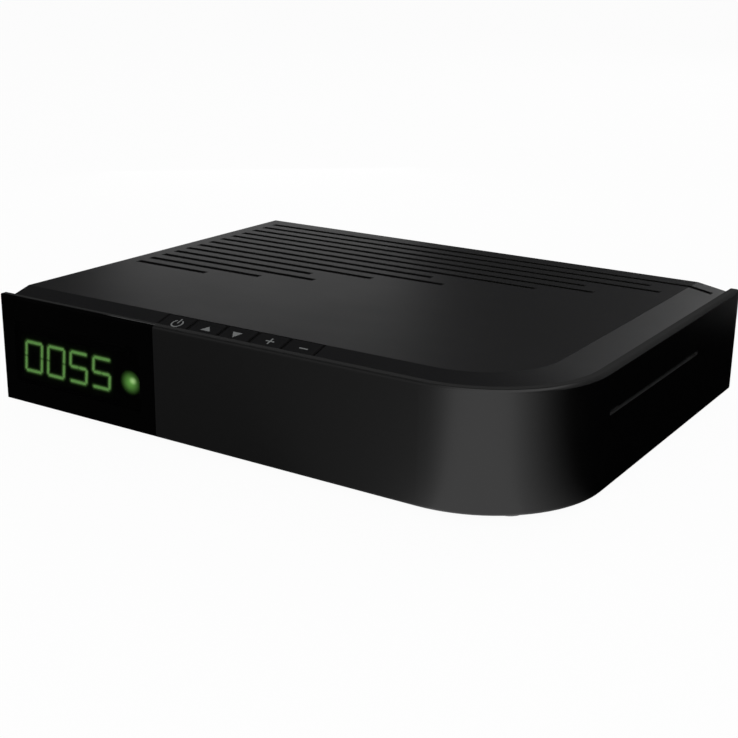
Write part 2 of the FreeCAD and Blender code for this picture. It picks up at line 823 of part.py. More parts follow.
def front_fascia():
    """Plate that runs along the front, round the right corner and down the right side."""
    body = new_body("Fascia")
    path = sketch(body, "fascia_plan", "XY", "bottom_edge")
    outline(path, [
        ("left_end", "front_face"),
        ("right_face", "front_face", "corner_radius"),
        ("right_face", "side_back"),
        ("right_face - fascia_wall", "side_back"),
        ("right_face - fascia_wall", "wall_back", "corner_radius - fascia_wall"),
        ("left_end", "wall_back"),
    ])
    grow(body, path, "fascia_height")

    bed = sketch(body, "window_bed", "XZ", "front_face - beyond")
    rectangle(bed, ("left_end - beyond", "window_right"), ("bottom_edge - beyond", "fascia_top + beyond"))
    carve(body, bed, "window_sheet + beyond")
    hole = sketch(body, "display_hole", "XZ", "front_face")
    rectangle(hole, ("module_left - module_gap", "module_left + module_width + module_gap"),
              ("display_z - module_height/2 - module_gap", "display_z + module_height/2 + module_gap"))
    disc(hole, ("lamp_x", "lamp_z"), "lamp_well + 2*lamp_gap")
    disc(hole, ("lamp_x", "sensor_z"), "sensor_size + 2*sensor_rim")
    carve(body, hole, "fascia_wall + beyond")
    groove = sketch(body, "card_groove", "YZ", "right_face")
    half = "(card_height/2 + groove_lip)"
    rectangle(groove, ("card_y - card_groove/2", "card_y + card_groove/2"),
              (f"card_z - {half}", f"card_z + {half}"))
    carve(body, groove, "groove_depth")
    slot = sketch(body, "card_slot", "YZ", "right_face")
    rectangle(slot, ("card_y - card_width/2 - reader_gap", "card_y + card_width/2 + reader_gap"),
              ("card_z - card_height/2", "card_z + card_height/2"))
    carve(body, slot, "fascia_wall + beyond")
    fascia_tabs(body)

    low, high = value("bottom_edge"), value("fascia_top")
    front, right = value("front_face"), value("right_face")
    start = value("window_right")

    def outer_rim(edge):
        box = edge.BoundBox
        flat = box.ZLength < 0.01 and min(abs(box.ZMin - low), abs(box.ZMin - high)) < 0.01
        outside = box.YMin < front + 0.01 or box.XMax > right - 0.01
        past_window = box.XMax > start + 0.01
        thick = box.XLength > 3.5 or box.YLength > 3.5
        return flat and outside and past_window and thick

    round_edges(body, "rim_round", "Fillet", "edge_round", outer_rim)
    node(body, "front_fascia")


def display_window():
    """Smoked pane bedded in the left third of the fascia."""
    body = new_body("Window")
    pane = sketch(body, "pane", "XZ", "window_back")
    rectangle(pane, ("left_end", "window_right - window_gap"), ("bottom_edge", "fascia_top"))
    grow(body, pane, "window_sheet")
    front = value("front_face")
    left = value("left_end")

    def front_rim(edge):
        box = edge.BoundBox
        return box.YMax < front + 0.01 and (box.XLength > 3.5 or box.XMax < left + 0.01)

    round_edges(body, "pane_round", "Fillet", "edge_round", front_rim)
    node(body, "display_window")


def rear_panel():
    """Steel sheet that closes the back, pierced for the sockets and for air."""
    body = new_body("RearPanel")
    sheet = sketch(body, "panel_outline", "XZ", "panel_back")
    outline(sheet, [
        ("inner_left + panel_gap", "floor_top"),
        ("inner_right - panel_gap", "floor_top"),
        ("inner_right - panel_gap", "inner_rim - panel_gap"),
        ("crease_across", "inner_top - panel_gap"),
        ("inner_left + panel_gap", "inner_top - panel_gap"),
    ])
    grow(body, sheet, "panel_sheet")
    cuts = sketch(body, "panel_cuts", "XZ", "panel_front - beyond")
    for across in ("lnb_in_x", "lnb_out_x"):
        disc(cuts, (across, "lnb_z"), "lnb_neck + 2*cut_gap")
    disc(cuts, ("spdif_x", "spdif_z"), "spdif_collar + 2*cut_gap")
    disc(cuts, ("dc_x", "dc_z"), "dc_bore + 2*cut_gap")
    for name in ("scart", "hdmi", "usb"):
        rectangle(cuts, (f"{name}_x - {name}_width/2 - cut_gap", f"{name}_x + {name}_width/2 + cut_gap"),
                  ("board_top - cut_gap", f"board_top + {name}_height + cut_gap"))
    carve(body, cuts, "panel_sheet + 2*beyond")
    air = sketch(body, "panel_air", "XZ", "panel_front - beyond")
    for row in range(13):
        near = f"hdmi_x - hdmi_width/2 + {row}*rear_vent_pitch"
        rectangle(air, (near, f"{near} + 1.8"), ("inner_rim - lug", "inner_rim - 2.5"))
    carve(body, air, "panel_sheet + 2*beyond")
    holes = prisms("panel_hole", "Y", REAR_SCREWS, "panel_front - beyond", "panel_sheet + 2*beyond",
                   "screw_clear", 12)
    node(take("PanelDone", body, holes), "rear_panel")


def screw(name, axis, seat, length, up):
    """A screw: the head lies against the seat and the shank runs up or down the axis from it."""
    shank_drop, head_drop = ("0", "head_height") if up else (length, "0")
    starts = []
    for drop in (shank_drop, head_drop):
        start = dict(zip("XYZ", seat))
        start[axis] = f"{start[axis]} - ({drop})"
        starts.append(tuple(start.values()))
    return join(name, [prism(name + "_shank", axis, starts[0], length, "screw_core", 6),
                       prism(name + "_head", axis, starts[1], "head_height", "head_diameter", 12)])


def fasteners():
    """Feet and the screws that close the case."""
    feet = []
    for number, (across, along) in enumerate(FEET):
        bevel = DOC.addObject("Part::Cone", f"foot_bevel_{number}")
        bind(bevel, "Radius1", "foot_diameter/2 - foot_bevel")
        bind(bevel, "Radius2", "foot_diameter/2")
        bind(bevel, "Height", "foot_bevel")
        bind(bevel, "Placement.Base.x", across)
        bind(bevel, "Placement.Base.y", along)
        pad = rod(f"foot_pad_{number}", "Z", (across, along, "foot_bevel"), "floor_under - foot_bevel",
                  "foot_diameter")
        feet.append(join(f"foot_{number}", [bevel, pad]))
    node(set_of("Feet", feet), "rubber_feet")
    case = [screw(f"case_screw_{number}", "Z", (across, along, "floor_under + floor_sheet/2"), "case_screw",
                  True)
            for number, (across, along) in enumerate(POSTS)]
    node(set_of("CaseScrews", case), "case_screws")
    rear = [screw(f"rear_screw_{number}", "Y", (across, "panel_back", up), "lug - 2", False)
            for number, (across, up) in enumerate(REAR_SCREWS)]
    node(set_of("RearScrews", rear), "rear_screws")


# ---------------------------------------------------------------- display

DIGITS = "0055"
BARS = {
    "top": ((-1, 1), (1, 1)),
    "upper_left": ((-1, 1), (-1, 0)),
    "upper_right": ((1, 1), (1, 0)),
    "middle_left": ((-1, 0), (0, 0)),
    "middle_right": ((0, 0), (1, 0)),
    "lower_left": ((-1, 0), (-1, -1)),
    "lower_right": ((1, 0), (1, -1)),
    "base": ((-1, -1), (1, -1)),
}
LIT = {
    "0": ["top", "upper_left", "upper_right", "lower_left", "lower_right", "base"],
    "5": ["top", "upper_left", "middle_left", "middle_right", "lower_right", "base"],
}


def bar_corners(index, bar):
    """Six corners of one pointed bar of a slanted digit, in order round it."""
    start, end = BARS[bar]
    level = start[1] == end[1]
    sign = end[0] - start[0] if level else end[1] - start[1]
    sign = 1 if sign > 0 else -1
    half_width = "((digit_width - segment_width)/2)"
    half_height = "((digit_height - segment_width)/2)"
    half_bar = "(segment_width/2)"
    spots = []
    for tip, inward in ((start, sign), (end, -sign)):
        draw = "segment_split/2" if tip == (0, 0) else "segment_split/sqrt(2)"
        spots.append((tip, f"{inward}*({draw})", f"{inward}*({draw} + {half_bar})"))
    (first, first_tip, first_shoulder), (last, last_tip, last_shoulder) = spots
    side = -sign
    steps = [(first, first_tip, 0), (first, first_shoulder, side), (last, last_shoulder, side),
             (last, last_tip, 0), (last, last_shoulder, -side), (first, first_shoulder, -side)]
    corners = []
    for tip, along, turn in steps:
        across = f"{tip[0]}*{half_width} + " + (along if level else f"{-turn}*{half_bar}")
        up = f"{tip[1]}*{half_height} + " + (f"{turn}*{half_bar}" if level else along)
        corners.append((f"display_x + {index - 1.5}*digit_pitch + {across} + ({up})*tan(digit_slant)",
                        f"display_z + {up}"))
    return corners


def segments(label, lit):
    """Raised bars of the four digits, either the lit ones or the dark ones."""
    body = new_body(label.title().replace("_", ""))
    body.AllowCompound = True
    for index, digit in enumerate(DIGITS):
        made = sketch(body, f"{label}_{index}", "XZ", "module_front")
        for bar in BARS:
            if (bar in LIT[digit]) == lit:
                outline(made, bar_corners(index, bar))
        grow(body, made, "segment_rise")
    node(body, label)


def display():
    """Four-digit module, lamp, sensor and the upright board that carries them."""
    node(block("Module", ("module_left", "module_left + module_width"),
               ("module_front", "module_front + module_depth"),
               ("display_z - module_height/2", "display_z + module_height/2")), "led_display")
    segments("segments_lit", True)
    segments("segments_dark", False)
    node(rod("Diffuser", "Y", ("lamp_x", "window_back + module_gap", "lamp_z"), "lamp_sheet", "lamp_well"),
         "led_diffuser")
    led_start = "window_back + module_gap + lamp_sheet + lip_gap"
    dome = DOC.addObject("Part::Cone", "led_dome")
    dome.Placement = FreeCAD.Placement(Vector(), TURNS["Y"])
    bind(dome, "Radius1", "led_diameter/4")
    bind(dome, "Radius2", "led_diameter/2")
    bind(dome, "Height", "led_diameter/4")
    for axis, place in zip("xyz", ("lamp_x", led_start, "lamp_z")):
        bind(dome, "Placement.Base." + axis, place)
    stem = rod("led_stem", "Y", ("lamp_x", f"{led_start} + led_diameter/4", "lamp_z"),
               f"front_board_front - ({led_start}) - led_diameter/4", "led_diameter")
    node(join("Led", [dome, stem]), "status_led")
    sensor = block("sensor_case", ("lamp_x - sensor_size/2", "lamp_x + sensor_size/2"),
                   ("front_board_front - 3.4", "front_board_front"),
                   ("sensor_z - sensor_size/2", "sensor_z + sensor_size/2"))
    lens = rod("sensor_lens", "Y", ("lamp_x", "front_board_front - 5", "sensor_z"), "2", "sensor_size - 1.4")
    node(join("Sensor", [sensor, lens]), "ir_receiver")
    node(block("FrontBoard", ("inner_left + board_clear", "front_board_right"),
               ("front_board_front", "front_board_back"),
               ("floor_top + 2.2", "inner_rim - 2")), "front_board")


# ---------------------------------------------------------------- keys

KEYS = ["power", "up", "down", "plus", "minus"]


def slope_height(along):
    """Height of the sloped front margin at a distance back along Y."""
    return f"(rim + top_rise*(({along}) - body_front)/(crease_line - body_front))"


def key(number, name):
    """A cap that follows the slope, with a skirt below the roof and a stem over its switch."""
    left = f"(keys_left + {number}*key_pitch)"
    right = f"({left} + key_pitch - key_gap)"
    middle = f"(({left} + {right})/2)"
    body = new_body("Key" + name.title())
    side = sketch(body, f"key_{name}_side", "YZ", left)
    outline(side, [
        ("key_front", f"{slope_height('key_front')} - key_cap"),
        ("key_back", f"{slope_height('key_back')} - key_cap"),
        ("key_back", slope_height("key_back")),
        ("key_front", slope_height("key_front")),
    ])
    grow(body, side, "key_pitch - key_gap")
    skirt = sketch(body, f"key_{name}_skirt", "XY", "skirt_under")
    rectangle(skirt, (f"{left} + 1.2", f"{right} - 1.2"), ("key_front + 1", "crease_line + 1.6"))
    grow(body, skirt, "key_skirt")
    stem = sketch(body, f"key_{name}_stem", "XY", "plunger_top")
    rectangle(stem, (f"{middle} - key_stem/2", f"{middle} + key_stem/2"),
              ("key_middle - key_stem/2", "key_middle + key_stem/2"))
    grow(body, stem, "skirt_under + key_skirt/2 - plunger_top")
    node(body, "key_" + name)

    plunger = prism("Plunger" + name.title(), "Z", (middle, "key_middle", "switch_top - plunger_depth"),
                    "plunger_rise + plunger_depth", "plunger_diameter", 12)
    node(plunger, "plunger_" + name)
    half = "switch_size/2"
    case = block(f"switch_{name}", (f"{middle} - {half}", f"{middle} + {half}"),
                 (f"key_middle - {half}", f"key_middle + {half}"), ("key_board_top", "switch_top"))
    well = prism(f"switch_well_{name}", "Z",
                 (middle, "key_middle", "switch_top - plunger_depth - key_travel - plunger_gap"),
                 "plunger_depth + key_travel + plunger_gap + beyond", "plunger_diameter + 2*plunger_gap", 12)
    return take(f"switch_case_{name}", case, [well])


def keys():
    """Five keys, their switches and the board that hangs from the cover."""
    cases = [key(number, name) for number, name in enumerate(KEYS)]
    node(set_of("Switches", cases), "tact_switches")
    board = block("key_board_blank", ("keys_left", "key_board_right"),
                  ("key_front", "key_front + key_board_depth"), ("key_board_under", "key_board_top"))
    holes = prisms("key_board_hole", "Z", KEY_SCREWS, "key_board_under - beyond",
                   "board_sheet + 2*beyond", "screw_clear", 8)
    node(take("KeyBoard", board, holes), "key_board")
    screws = [screw(f"key_screw_{number}", "Z", (across, along, "key_board_under"), "6", True)
              for number, (across, along) in enumerate(KEY_SCREWS)]
    node(set_of("KeyScrews", screws), "key_board_screws")


# ---------------------------------------------------------------- boards

def main_board():
    """Main circuit board with holes for its screws and for the cover's posts."""
    body = new_body("MainBoard")
    sheet = sketch(body, "main_sheet", "XY", "board_under")
    outline(sheet, [
        ("board_left", "board_low"),
        ("board_right", "board_low", "board_corner"),
        ("board_right", "board_high"),
        ("board_left", "board_high"),
    ])
    grow(body, sheet, "board_sheet")
    level, depth = "board_under - beyond", "board_sheet + 2*beyond"
    holes = prisms("board_hole", "Z", BOARD_SCREWS, level, depth, "screw_clear", 8)
    holes += prisms("post_notch", "Z", POSTS, level, depth, "post_diameter + 4*post_gap", 12)
    node(take("BoardDone", body, holes), "main_board")
    screws = [screw(f"board_screw_{number}", "Z", (across, along, "board_top"), "board_sheet + standoff - 1",
                    False)
              for number, (across, along) in enumerate(BOARD_SCREWS)]
    node(set_of("BoardScrews", screws), "board_screws")


def chip(name, across, along, width, length, height):
    """A flat package centred on a place of the main board."""
    return block(name, (f"{across} - {width}/2", f"{across} + {width}/2"),
                 (f"{along} - {length}/2", f"{along} + {length}/2"), ("board_top", f"board_top + {height}"))


def heat_sink():
    """Finned block on the processor."""
    left, near = "(sink_x - sink_side/2)", "(sink_y - sink_side/2)"
    under = "board_top + processor_height"
    sides = (near, f"{near} + sink_side")
    parts = [block("sink_plate", (left, f"{left} + sink_side"), sides, (under, f"{under} + sink_base"))]
    for number in range(9):
        start = f"{left} + {number}*(sink_side - fin_width)/8"
        parts.append(block(f"sink_fin_{number}", (start, f"{start} + fin_width"), sides,
                           (f"{under} + sink_base/2", f"{under} + sink_height")))
    node(join("HeatSink", parts), "heat_sink")


def electronics():
    """What stands on the main board."""
    node(chip("Processor", "sink_x", "sink_y", "processor_side", "processor_side", "processor_height"),
         "processor")
    heat_sink()
    memory = [chip(f"memory_{number}", f"sink_x {offset}", "board_low + 22", "chip_side", "chip_side*2/3",
                   "chip_height") for number, offset in enumerate(("- 4", "+ 14"))]
    node(set_of("Memory", memory), "memory_chips")
    node(chip("Flash", "(sink_x - 22)", "(board_low + 22)", "chip_side", "chip_side*3/2", "chip_height"),
         "flash_chip")
    cans = []
    for number in range(3):
        across = f"sink_x + {number - 1}*(tall_can + 4)"
        for size, along in (("tall_can", "sink_rear + 3 + tall_can/2"),
                            ("short_can", "sink_rear + 6 + tall_can + short_can/2")):
            cans.append(prism(f"{size}_{number}", "Z", (across, along, "board_top"), size + "_height",
                              size, 16))
    node(set_of("Capacitors", cans), "capacitors")
    coils = [chip(f"inductor_{number}", f"(card_left + 12 + {number}*(inductor_side + 4))", "(card_y + 6)",
                  "inductor_side", "inductor_side", "inductor_height") for number in range(3)]
    node(set_of("Inductors", coils), "power_inductors")


def key_lead():
    """Flat cable between the key board and the main board, with a header at each end."""
    sides = ("header_x - header_width/2", "header_x + header_width/2")
    depth = ("key_screw_y - header_depth/2", "key_screw_y + header_depth/2")
    low = block("header_low", sides, depth, ("board_top", "board_top + header_depth"))
    high = block("header_high", sides, depth, ("key_board_under - header_depth", "key_board_under"))
    node(set_of("Headers", [low, high]), "cable_headers")
    node(block("Cable", ("header_x - header_width/2 + 1", "header_x + header_width/2 - 1"),
               ("key_screw_y - cable_sheet/2", "key_screw_y + cable_sheet/2"),
               ("board_top + header_depth", "key_board_under - header_depth")), "key_cable")


def card_reader():
    """Smart-card reader on a small board that stands on four posts."""
    body = new_body("Reader")
    case = sketch(body, "reader_case", "YZ", "reader_left")
    rectangle(case, ("reader_near", "reader_far"), ("reader_under", "reader_under + reader_height"))
    grow(body, case, "reader_length")
    throat = sketch(body, "reader_throat", "YZ", "reader_right")
    rectangle(throat, ("card_y - card_width/2", "card_y + card_width/2"),
              ("card_z - card_height/2", "card_z + card_height/2"))
    carve(body, throat, "reader_length - 3")
    node(body, "card_reader")
    node(block("CardBoard", ("card_left", "reader_right"), ("reader_near", "reader_far"),
               ("card_board_under", "reader_under")), "card_board")
    corners = [(across, along)
               for across in ("card_left + card_margin", "reader_right - card_margin")
               for along in ("reader_near + card_margin", "reader_far - card_margin")]
    posts = prisms("card_post", "Z", corners, "board_top", "card_board_under - board_top",
                   "standoff_diameter", 6)
    node(set_of("CardPosts", posts), "card_board_posts")


# ---------------------------------------------------------------- rear sockets

def tuner():
    """Screened tuner with its two threaded aerial sockets."""
    node(block("TunerCan", ("tuner_left", "tuner_right"), ("tuner_back - tuner_length", "tuner_back"),
               ("board_top", "board_top + tuner_height")), "tuner_can")
    node(block("TunerLid", ("tuner_left + lid_sheet", "tuner_right - lid_sheet"),
               ("tuner_back - tuner_length + lid_sheet", "tuner_back - lid_sheet"),
               ("board_top + tuner_height", "board_top + tuner_height + lid_sheet")), "tuner_lid")
    nuts = []
    for name in ("lnb_in", "lnb_out"):
        across = name + "_x"
        collar = rod(name + "_collar", "Y", (across, "tuner_back", "lnb_z"), "tuner_stand", "lnb_collar")
        neck = rod(name + "_neck", "Y", (across, "panel_front", "lnb_z"), "panel_sheet + nut_height",
                   "lnb_neck")
        barrel = rod(name + "_barrel", "Y", (across, "panel_back + nut_height", "lnb_z"),
                     "lnb_reach - nut_height", "lnb_diameter")
        bore = rod(name + "_bore", "Y", (across, "panel_back + nut_height", "lnb_z"), "lnb_reach",
                   "lnb_bore")
        node(take(name.title().replace("_", ""), join(name + "_body", [collar, neck, barrel]), [bore]),
             name + "_socket")
        hexagon = prism(name + "_hexagon", "Y", (across, "panel_back", "lnb_z"), "nut_height",
                        "nut_width*2/sqrt(3)", 6)
        thread = rod(name + "_nut_bore", "Y", (across, "panel_back - beyond", "lnb_z"),
                     "nut_height + 2*beyond", "lnb_neck + lip_gap")
        nuts.append(take(name + "_nut", hexagon, [thread]))
    node(set_of("LnbNuts", nuts), "lnb_nuts")


def shell_socket(name, label):
    """A folded metal shell with a plastic tongue, standing on the board and through the panel."""
    half = f"{name}_width/2"
    back = "panel_back + socket_reach"
    front = f"{back} - {name}_depth"
    case = block(name + "_case", (f"{name}_x - {half}", f"{name}_x + {half}"), (front, back),
                 ("board_top", f"board_top + {name}_height"))
    space = block(name + "_space", (f"{name}_x - {half} + shell_sheet", f"{name}_x + {half} - shell_sheet"),
                  (f"{front} + 2", f"{back} + beyond"),
                  ("board_top + shell_sheet", f"board_top + {name}_height - shell_sheet"))
    hollow = take(name + "_shell", case, [space])
    tongue = block(name + "_tongue", (f"{name}_x - {half} + 1.6", f"{name}_x + {half} - 1.6"),
                   (f"{front} + 1", f"{back} - 1"),
                   (f"board_top + {name}_height*0.5 - 0.2", f"board_top + {name}_height*0.5 + 1.2"))
    node(join(name.title(), [hollow, tongue]), label)


def scart():
    """Twenty-one-way socket: a folded shroud round a slotted contact block."""
    half = "scart_width/2"
    back = "panel_back + socket_reach"
    middle = "board_top + scart_height/2"
    case = block("scart_case", (f"scart_x - {half}", f"scart_x + {half}"), (f"{back} - scart_depth", back),
                 ("board_top", "board_top + scart_height"))
    space = block("scart_space", (f"scart_x - {half} + scart_wall", f"scart_x + {half} - scart_wall"),
                  (f"{back} - scart_depth + 2", f"{back} + beyond"),
                  ("board_top + scart_wall", "board_top + scart_height - scart_wall"))
    node(take("Scart", case, [space]), "scart_socket")
    insert = block("scart_block", (f"scart_x - {half} + 3", f"scart_x + {half} - 3"),
                   (f"{back} - scart_depth + 2", f"{back} - 1.5"), (f"{middle} - 3.4", f"{middle} + 3.4"))
    slits = []
    for number in range(21):
        place = f"scart_x + {(number - 10) * 1.9}"
        low = f"{middle} + 0.5" if number % 2 else f"{middle} - 2.9"
        slits.append(block(f"scart_slit_{number}", (f"{place} - 0.4", f"{place} + 0.4"),
                           (f"{back} - 7", f"{back} - 1"), (low, f"{low} + 2.4")))
    node(take("ScartInsert", insert, slits), "scart_insert")


def sockets():
    """The other sockets along the rear."""
    scart()
    shell_socket("hdmi", "hdmi_socket")
    shell_socket("usb", "usb_socket")
    face = "panel_front - panel_gap"
    box = block("spdif_box", ("spdif_x - spdif_body/2", "spdif_x + spdif_body/2"), (f"{face} - 10", face),
                ("board_top", "spdif_z + spdif_body/2"))
    collar = rod("spdif_ring", "Y", ("spdif_x", f"{face} - 1", "spdif_z"), f"panel_back - ({face}) + 1",
                 "spdif_collar")
    barrel = rod("spdif_barrel", "Y", ("spdif_x", "panel_back - beyond", "spdif_z"), "spdif_reach + beyond",
                 "spdif_diameter")
    bore = rod("spdif_hole", "Y", ("spdif_x", "panel_back + 1", "spdif_z"), "spdif_reach", "spdif_bore")
    node(take("Spdif", join("spdif_solid", [box, collar, barrel]), [bore]), "spdif_socket")

    box = block("dc_box", ("dc_x - dc_width/2", "dc_x + dc_width/2"), (f"{face} - dc_depth", face),
                ("board_top", "board_top + dc_height"))
    bore = rod("dc_hole", "Y", ("dc_x", f"{face} - dc_depth + 2", "dc_z"), "dc_depth", "dc_bore")
    node(take("DcInlet", box, [bore]), "dc_inlet")
    node(rod("DcPin", "Y", ("dc_x", f"{face} - dc_depth + 2", "dc_z"), "dc_depth - 3", "dc_pin"), "dc_pin")


# ---------------------------------------------------------------- output

def check_and_write():
    """Recomputes the document, stops on any fault and writes one file for each sub-part."""
    DOC.recompute()
    for item in DOC.Objects:
        if "Invalid" in item.State or "Error" in item.State:
            raise RuntimeError(f"{item.Label} did not compute: {item.State}")
    for made in NODES:
        if made.Shape.isNull() or not made.Shape.isValid():
            raise RuntimeError(f"{made.Label} has no valid shape")
    os.makedirs("parts", exist_ok=True)
    for made in NODES:
        made.Shape.exportStep(f"parts/{made.Label}.step")
        print(f"{made.Label:22s} solids {len(made.Shape.Solids):2d}  volume {made.Shape.Volume:10.1f}")


top_cover()
base_tray()
front_fascia()
display_window()
rear_panel()
fasteners()
display()
keys()
main_board()
electronics()
key_lead()
card_reader()
tuner()
sockets()
check_and_write()
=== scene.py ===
# %% [markdown]
# # A compact satellite receiver
# The receiver is a flat box with a glossy plate wrapped round its front, right corner and right
# side, a matt slotted lid, a smoked window with a green clock display and five small keys.
# The solids come from the construction model, already in place. This lesson gives them their
# finishes, adds the printed key marks and the glow of the display, and lights the set.

# %% Load the model and keep its box
import math

import bpy
import numpy as np
from mathutils import Matrix, Vector


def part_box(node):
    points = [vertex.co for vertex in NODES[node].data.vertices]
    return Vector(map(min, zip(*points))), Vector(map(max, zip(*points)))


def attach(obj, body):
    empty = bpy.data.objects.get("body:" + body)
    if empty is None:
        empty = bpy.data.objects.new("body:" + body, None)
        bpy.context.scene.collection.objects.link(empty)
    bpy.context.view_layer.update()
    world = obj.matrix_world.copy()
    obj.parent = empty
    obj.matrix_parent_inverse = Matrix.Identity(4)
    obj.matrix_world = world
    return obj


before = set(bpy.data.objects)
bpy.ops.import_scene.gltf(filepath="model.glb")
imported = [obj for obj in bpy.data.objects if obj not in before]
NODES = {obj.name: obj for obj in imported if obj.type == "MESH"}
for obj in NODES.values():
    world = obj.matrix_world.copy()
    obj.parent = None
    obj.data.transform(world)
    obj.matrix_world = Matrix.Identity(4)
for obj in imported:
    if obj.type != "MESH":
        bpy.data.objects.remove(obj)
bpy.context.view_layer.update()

# %% [markdown]
# ## Building finishes from nodes
# A finish on a real moulding is never one flat colour: it has a fine grain from the mould, some
# dust and small changes of gloss. Each of these is used by many finishes, so each is made once
# as a node group with named inputs, and every material sets its own amounts. A few helpers keep
# the node trees short: each input takes a number, a colour or another node's output alike.

# %% Helpers for node trees
def new_group(name, inputs, outputs):
    """An empty shader group with float or colour sockets; returns tree, entry and exit nodes."""
    tree = bpy.data.node_groups.new(name, "ShaderNodeTree")
    for label, kind, start in inputs:
        socket = tree.interface.new_socket(label, in_out="INPUT", socket_type=kind)
        socket.default_value = start
    for label, kind in outputs:
        tree.interface.new_socket(label, in_out="OUTPUT", socket_type=kind)
    return tree, tree.nodes.new("NodeGroupInput"), tree.nodes.new("NodeGroupOutput")


def feed(slot, term):
    """Links another node's output to an input, or sets it to a number, a place or a colour."""
    if isinstance(term, bpy.types.NodeSocket):
        slot.id_data.links.new(term, slot)
    else:
        slot.default_value = (*term, 1) if slot.type == "RGBA" else term


def add(tree, kind, inputs=None, **settings):
    """A node with its plain settings given by name and its inputs fed by name or number."""
    node = tree.nodes.new(kind)
    for key, setting in settings.items():
        setattr(node, key, setting)
    for key, term in (inputs or {}).items():
        feed(node.inputs[key], term)
    return node


def maths(tree, operation, *terms):
    """The result of a math node; each term is a number or a socket."""
    return add(tree, "ShaderNodeMath", dict(enumerate(terms)), operation=operation).outputs[0]


def mixed(tree, kind, share, first, second, **settings):
    """A mix of two colours (RGBA) or numbers (FLOAT): share 0 is the first, 1 the second."""
    return add(tree, "ShaderNodeMix", {"Factor": share, "A": first, "B": second},
               data_type=kind, **settings).outputs["Result"]


def ease(tree, value, start, end):
    """Smooth step from 0 at the start to 1 at the end: t t (3 - 2 t), t the share of the way."""
    return add(tree, "ShaderNodeMapRange", {"Value": value, "From Min": start, "From Max": end},
               interpolation_type="SMOOTHSTEP").outputs["Result"]


def object_place(tree):
    """A point's place in the object's own coordinates, so that a pattern keeps its real size."""
    return add(tree, "ShaderNodeTexCoord").outputs["Object"]


def object_axes(tree):
    """The X, Y and Z of that place."""
    return add(tree, "ShaderNodeSeparateXYZ", {0: object_place(tree)}).outputs


def noise(tree, scale, detail=2.0, rough=0.5, place=None):
    """The value of a noise at a point's place, or at another place made from it."""
    spot = object_place(tree) if place is None else place
    return add(tree, "ShaderNodeTexNoise", {"Vector": spot, "Scale": scale, "Detail": detail,
                                            "Roughness": rough}).outputs["Fac"]


def within(tree, *bands):
    """Product of tests |value - middle| <= half, one for each (value, low, high)."""
    share = 1.0
    for value, low, high in bands:
        test = maths(tree, "COMPARE", value, (low + high) / 2, (high - low) / 2)
        share = maths(tree, "MULTIPLY", test, share)
    return share


def middle(name):
    """Centre of a node's box."""
    return [(a + b) / 2 for a, b in zip(*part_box(name))]


# %% The shared groups: mould grain, worn gloss and colour drift
FLOAT, COLOUR = "NodeSocketFloat", "NodeSocketColor"
COARSE_SCALE = 0.22
WIPE_STRETCH = (28.0, 60.0, 170.0)
SPECKS_PER_METRE, SPECK_STARTS, SPECK_FULL = 900.0, 0.70, 0.80
DUST_TONE = (0.32, 0.31, 0.29)


def grain_group():
    """Height of a fine mould texture: noise at two sizes, added with a share for the larger."""
    tree, entry, leave = new_group("Mould grain", [("Grains per metre", FLOAT, 2500.0),
                                                   ("Coarse share", FLOAT, 0.3)], [("Height", FLOAT)])
    grains, share = entry.outputs[0], entry.outputs[1]
    fine = noise(tree, grains, 2.0, 0.6)
    coarse = noise(tree, maths(tree, "MULTIPLY", grains, COARSE_SCALE), 1.0)
    feed(leave.inputs[0], maths(tree, "ADD", fine, maths(tree, "MULTIPLY", coarse, share)))
    return tree


def gloss_group():
    """Roughness that drifts round a base value, with soft wipe marks stretched along one way."""
    tree, entry, leave = new_group("Worn gloss", [("Base", FLOAT, 0.3), ("Spread", FLOAT, 0.05)],
                                   [("Roughness", FLOAT)])
    base, spread = entry.outputs[0], entry.outputs[1]
    stretch = add(tree, "ShaderNodeMapping", {"Vector": object_place(tree), "Scale": WIPE_STRETCH})
    wipes = noise(tree, 1.0, 3.0, place=stretch.outputs["Vector"])
    both = maths(tree, "ADD", wipes, noise(tree, 35.0, 3.0))
    swing = maths(tree, "MULTIPLY", maths(tree, "SUBTRACT", both, 1.0), spread)
    feed(leave.inputs[0], maths(tree, "ADD", base, swing))
    return tree


def drift_group():
    """Colour that wanders between a base and a second shade, with small light specks of dust."""
    tree, entry, leave = new_group("Colour drift", [("Base", COLOUR, (0.5, 0.5, 0.5, 1)),
                                                    ("Second", COLOUR, (0.6, 0.6, 0.6, 1)),
                                                    ("Marks per metre", FLOAT, 60.0),
                                                    ("Dust", FLOAT, 0.0)], [("Color", COLOUR)])
    base, second, marks, dust = (entry.outputs[number] for number in range(4))
    clouds = mixed(tree, "RGBA", noise(tree, marks, 4.0, 0.6), base, second)
    specks = ease(tree, noise(tree, SPECKS_PER_METRE, 1.0), SPECK_STARTS, SPECK_FULL)
    feed(leave.inputs[0], mixed(tree, "RGBA", maths(tree, "MULTIPLY", specks, dust), clouds, DUST_TONE))
    return tree


GRAIN, GLOSS, DRIFT = grain_group(), gloss_group(), drift_group()
print("groups", [tree.name for tree in (GRAIN, GLOSS, DRIFT)])

# %% [markdown]
# ## One recipe for all mouldings and metals
# Every finish needs the same chain: a drifting colour, a drifting roughness and a grain that
# tilts the surface through a bump. Writing the chain once keeps the finishes comparable, and
# a table then reads like a materials list: colour, gloss, grain size and depth.

# %% The finish recipe
SECOND_SHADE, BUMP_STRENGTH = 1.35, 0.6


def new_material(name):
    """An empty material that uses nodes."""
    made = bpy.data.materials.new(name)
    made.use_nodes = True
    return made


def inside(made):
    """The node tree of a material and the inputs of its Principled shader."""
    return made.node_tree, made.node_tree.nodes["Principled BSDF"].inputs


